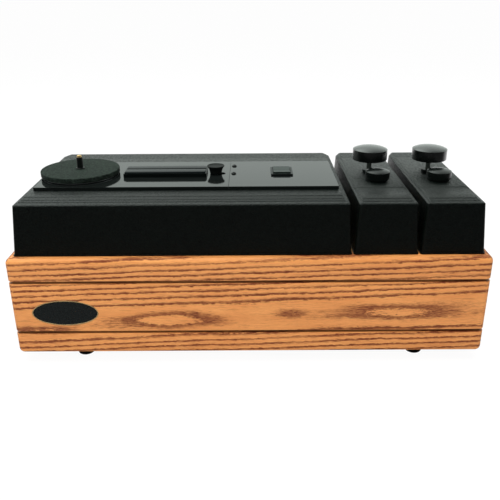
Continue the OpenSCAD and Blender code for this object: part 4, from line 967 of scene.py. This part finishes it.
milky = finish_material("milky_tank", tank_paint, Subsurface_Weight=0.15)
enamel = finish_material("motor_enamel", motor_paint)
clear_vinyl = finish_material("clear_vinyl", tank_paint, Transmission_Weight=0.4)
dress(milky, "waste_tank")
dress(clear_vinyl, "fluid_tubes")
dress(rubber, "vacuum_hose", "wiring_harness")
dress(satin_black, "blower_housing", "blower_cover", "gearbox_case", "reservoir_1", "reservoir_2")
dress(enamel, "blower_motor", "drive_motor")


# Spring of the drive carriage. A wound steel spring between the carriage's tab and the
# cover's post. Its end loops, which are hidden, are left out.
def wire(path, radius, sides=8):
    """A round wire along a path of points, closed at both ends: rings square to the path."""
    path = np.asarray(path, float)
    ahead = np.gradient(path, axis=0)
    ahead /= np.linalg.norm(ahead, axis=1, keepdims=True)
    guide = np.array([0.03, 0.4, 0.9])
    u = np.cross(ahead, guide)
    u /= np.linalg.norm(u, axis=1, keepdims=True)
    v = np.cross(ahead, u)
    turn = np.linspace(0, 2 * np.pi, sides, endpoint=False)[:, None]
    rings = path[:, None] + radius * (np.cos(turn)[None] * u[:, None]
                                      + np.sin(turn)[None] * v[:, None])
    return rings, tube_faces(len(path), sides)


spring_lo, spring_hi = place_of("carriage_spring")
WIRE_R, COIL_TURNS, COIL_LONG = 0.4, 14, 38.7
_, spring_y, spring_z = middle_of("carriage_spring")
coil_r = (spring_hi[1] - spring_lo[1]) / 2 - WIRE_R
coil_start, coil_end = spring_hi[0] - COIL_LONG + WIRE_R, spring_hi[0] - WIRE_R
t = np.linspace(0, 1, 24 * COIL_TURNS)
turn = t * 2 * COIL_TURNS * np.pi
coil = np.column_stack([coil_start + t * (coil_end - coil_start),
                        spring_y + coil_r * np.cos(turn), spring_z + coil_r * np.sin(turn)])
points, faces = wire(coil, WIRE_R)
put("carriage_spring_coil", points, faces, zinc, "carriage", ["carriage_spring"], 60)


# Back of the machine. A slotted exhaust grille, the cord's gland without a cord, and the
# rubber drain plug in its pocket.
softened("vent_grille", 0.3, satin_black, "cabinet")
softened("cord_gland", 0.5, rubber, "cabinet")
softened("drain_plug", 0.4, rubber, "plug")


# Stage. A white sweep in soft studio light: the floor and the world are white to the camera
# and in gloss, but gloss that looks towards the camera's side sees a dim room, with a bright
# patch high up on the left. The floor keeps the object's shadow.
def seen(tree):
    """1 for rays from the camera, glass or gloss, and 1 for gloss alone."""
    camera_ray = Field(tree, tree.nodes.new("ShaderNodeLightPath").outputs["Is Camera Ray"])
    sockets = camera_ray.socket.node.outputs
    gloss = Field(tree, sockets["Is Glossy Ray"])
    clear = camera_ray.math("MAXIMUM", Field(tree, sockets["Is Transmission Ray"]))
    return clear.math("MAXIMUM", gloss), gloss


FLOOR, WHITE_SHARE, AMBIENT, DIM, PATCH = 30, 0.9, 0.48, 0.04, 2.6
FLOOR_GREY, FLOOR_GLOW, WHITE, COOL_WHITE = 0.8, 1.05, (1, 1, 1, 1), (0.91, 1, 0.95, 1)
floor_mesh = bpy.data.meshes.new("floor")
corners = [(x, y, 0) for x, y in rectangle(-FLOOR, FLOOR, -FLOOR, FLOOR)]
floor_mesh.from_pydata(corners, [], [(0, 1, 2, 3)])
floor = bpy.data.objects.new("floor", floor_mesh)
bpy.context.scene.collection.objects.link(floor)
paint = bpy.data.materials.new("floor_paint")
paint.use_nodes = True
tree = paint.node_tree
shown, gloss = seen(tree)
place = Field(tree, tree.nodes.new("ShaderNodeTexCoord").outputs["Object"])
behind = place.xyz()[1].smooth(-0.1, 0.3)
lit = 1 - gloss * (1 - behind) * (1 - DIM)
plain = shown.node("ShaderNodeBsdfDiffuse", {"Color": (FLOOR_GREY, FLOOR_GREY, FLOOR_GREY, 1)})
glow = shown.node("ShaderNodeEmission", {"Color": WHITE, "Strength": lit * FLOOR_GLOW})
mixed = shown.node("ShaderNodeMixShader", {0: shown * WHITE_SHARE, 1: plain, 2: glow})
tree.links.new(mixed.socket, tree.nodes["Material Output"].inputs["Surface"])
floor_mesh.materials.append(paint)

world = bpy.data.worlds.new("studio")
bpy.context.scene.world = world
world.use_nodes = True
tree = world.node_tree
shown, gloss = seen(tree)
way_x, way_y, way_z = Field(tree, tree.nodes.new("ShaderNodeTexCoord").outputs["Generated"]).xyz()
behind = way_y.smooth(-0.35, 0.35)
left = 1 - way_x.smooth(-0.4, 0.3)
above = way_z.smooth(0.4, 0.8)
lit = 1 - gloss * (1 - behind) * (1 - DIM) + gloss * left * above * PATCH
strength = (shown * (1 - AMBIENT) + AMBIENT) * lit
tree.links.new(strength.socket, tree.nodes["Background"].inputs["Strength"])
tint = gloss.mixed(WHITE, COOL_WHITE)
tree.links.new(tint.socket, tree.nodes["Background"].inputs["Color"])


def softbox(name, at, towards, size, watts):
    """A square lamp at a point in metres, facing another point."""
    lamp = bpy.data.lights.new(name, "AREA")
    lamp.energy, lamp.size = watts, size
    holder = bpy.data.objects.new(name, lamp)
    way = -(np.array(towards, float) - at)
    way /= np.linalg.norm(way)
    right = np.cross([0.01, 0.02, 1], way)
    right /= np.linalg.norm(right)
    aim = Matrix(np.column_stack([right, np.cross(way, right), way]).tolist()).to_4x4()
    holder.matrix_world = Matrix.Translation(at) @ aim
    holder.visible_glossy = False
    bpy.context.scene.collection.objects.link(holder)


softbox("overhead", (-0.1, 0.1, 1.6), (0, 0, 0.1), 1.6, 34)
softbox("front", (-0.7, -1.7, 1.0), (0, 0, 0.1), 1.4, 10)

bpy.context.scene.view_settings.view_transform = "Standard"
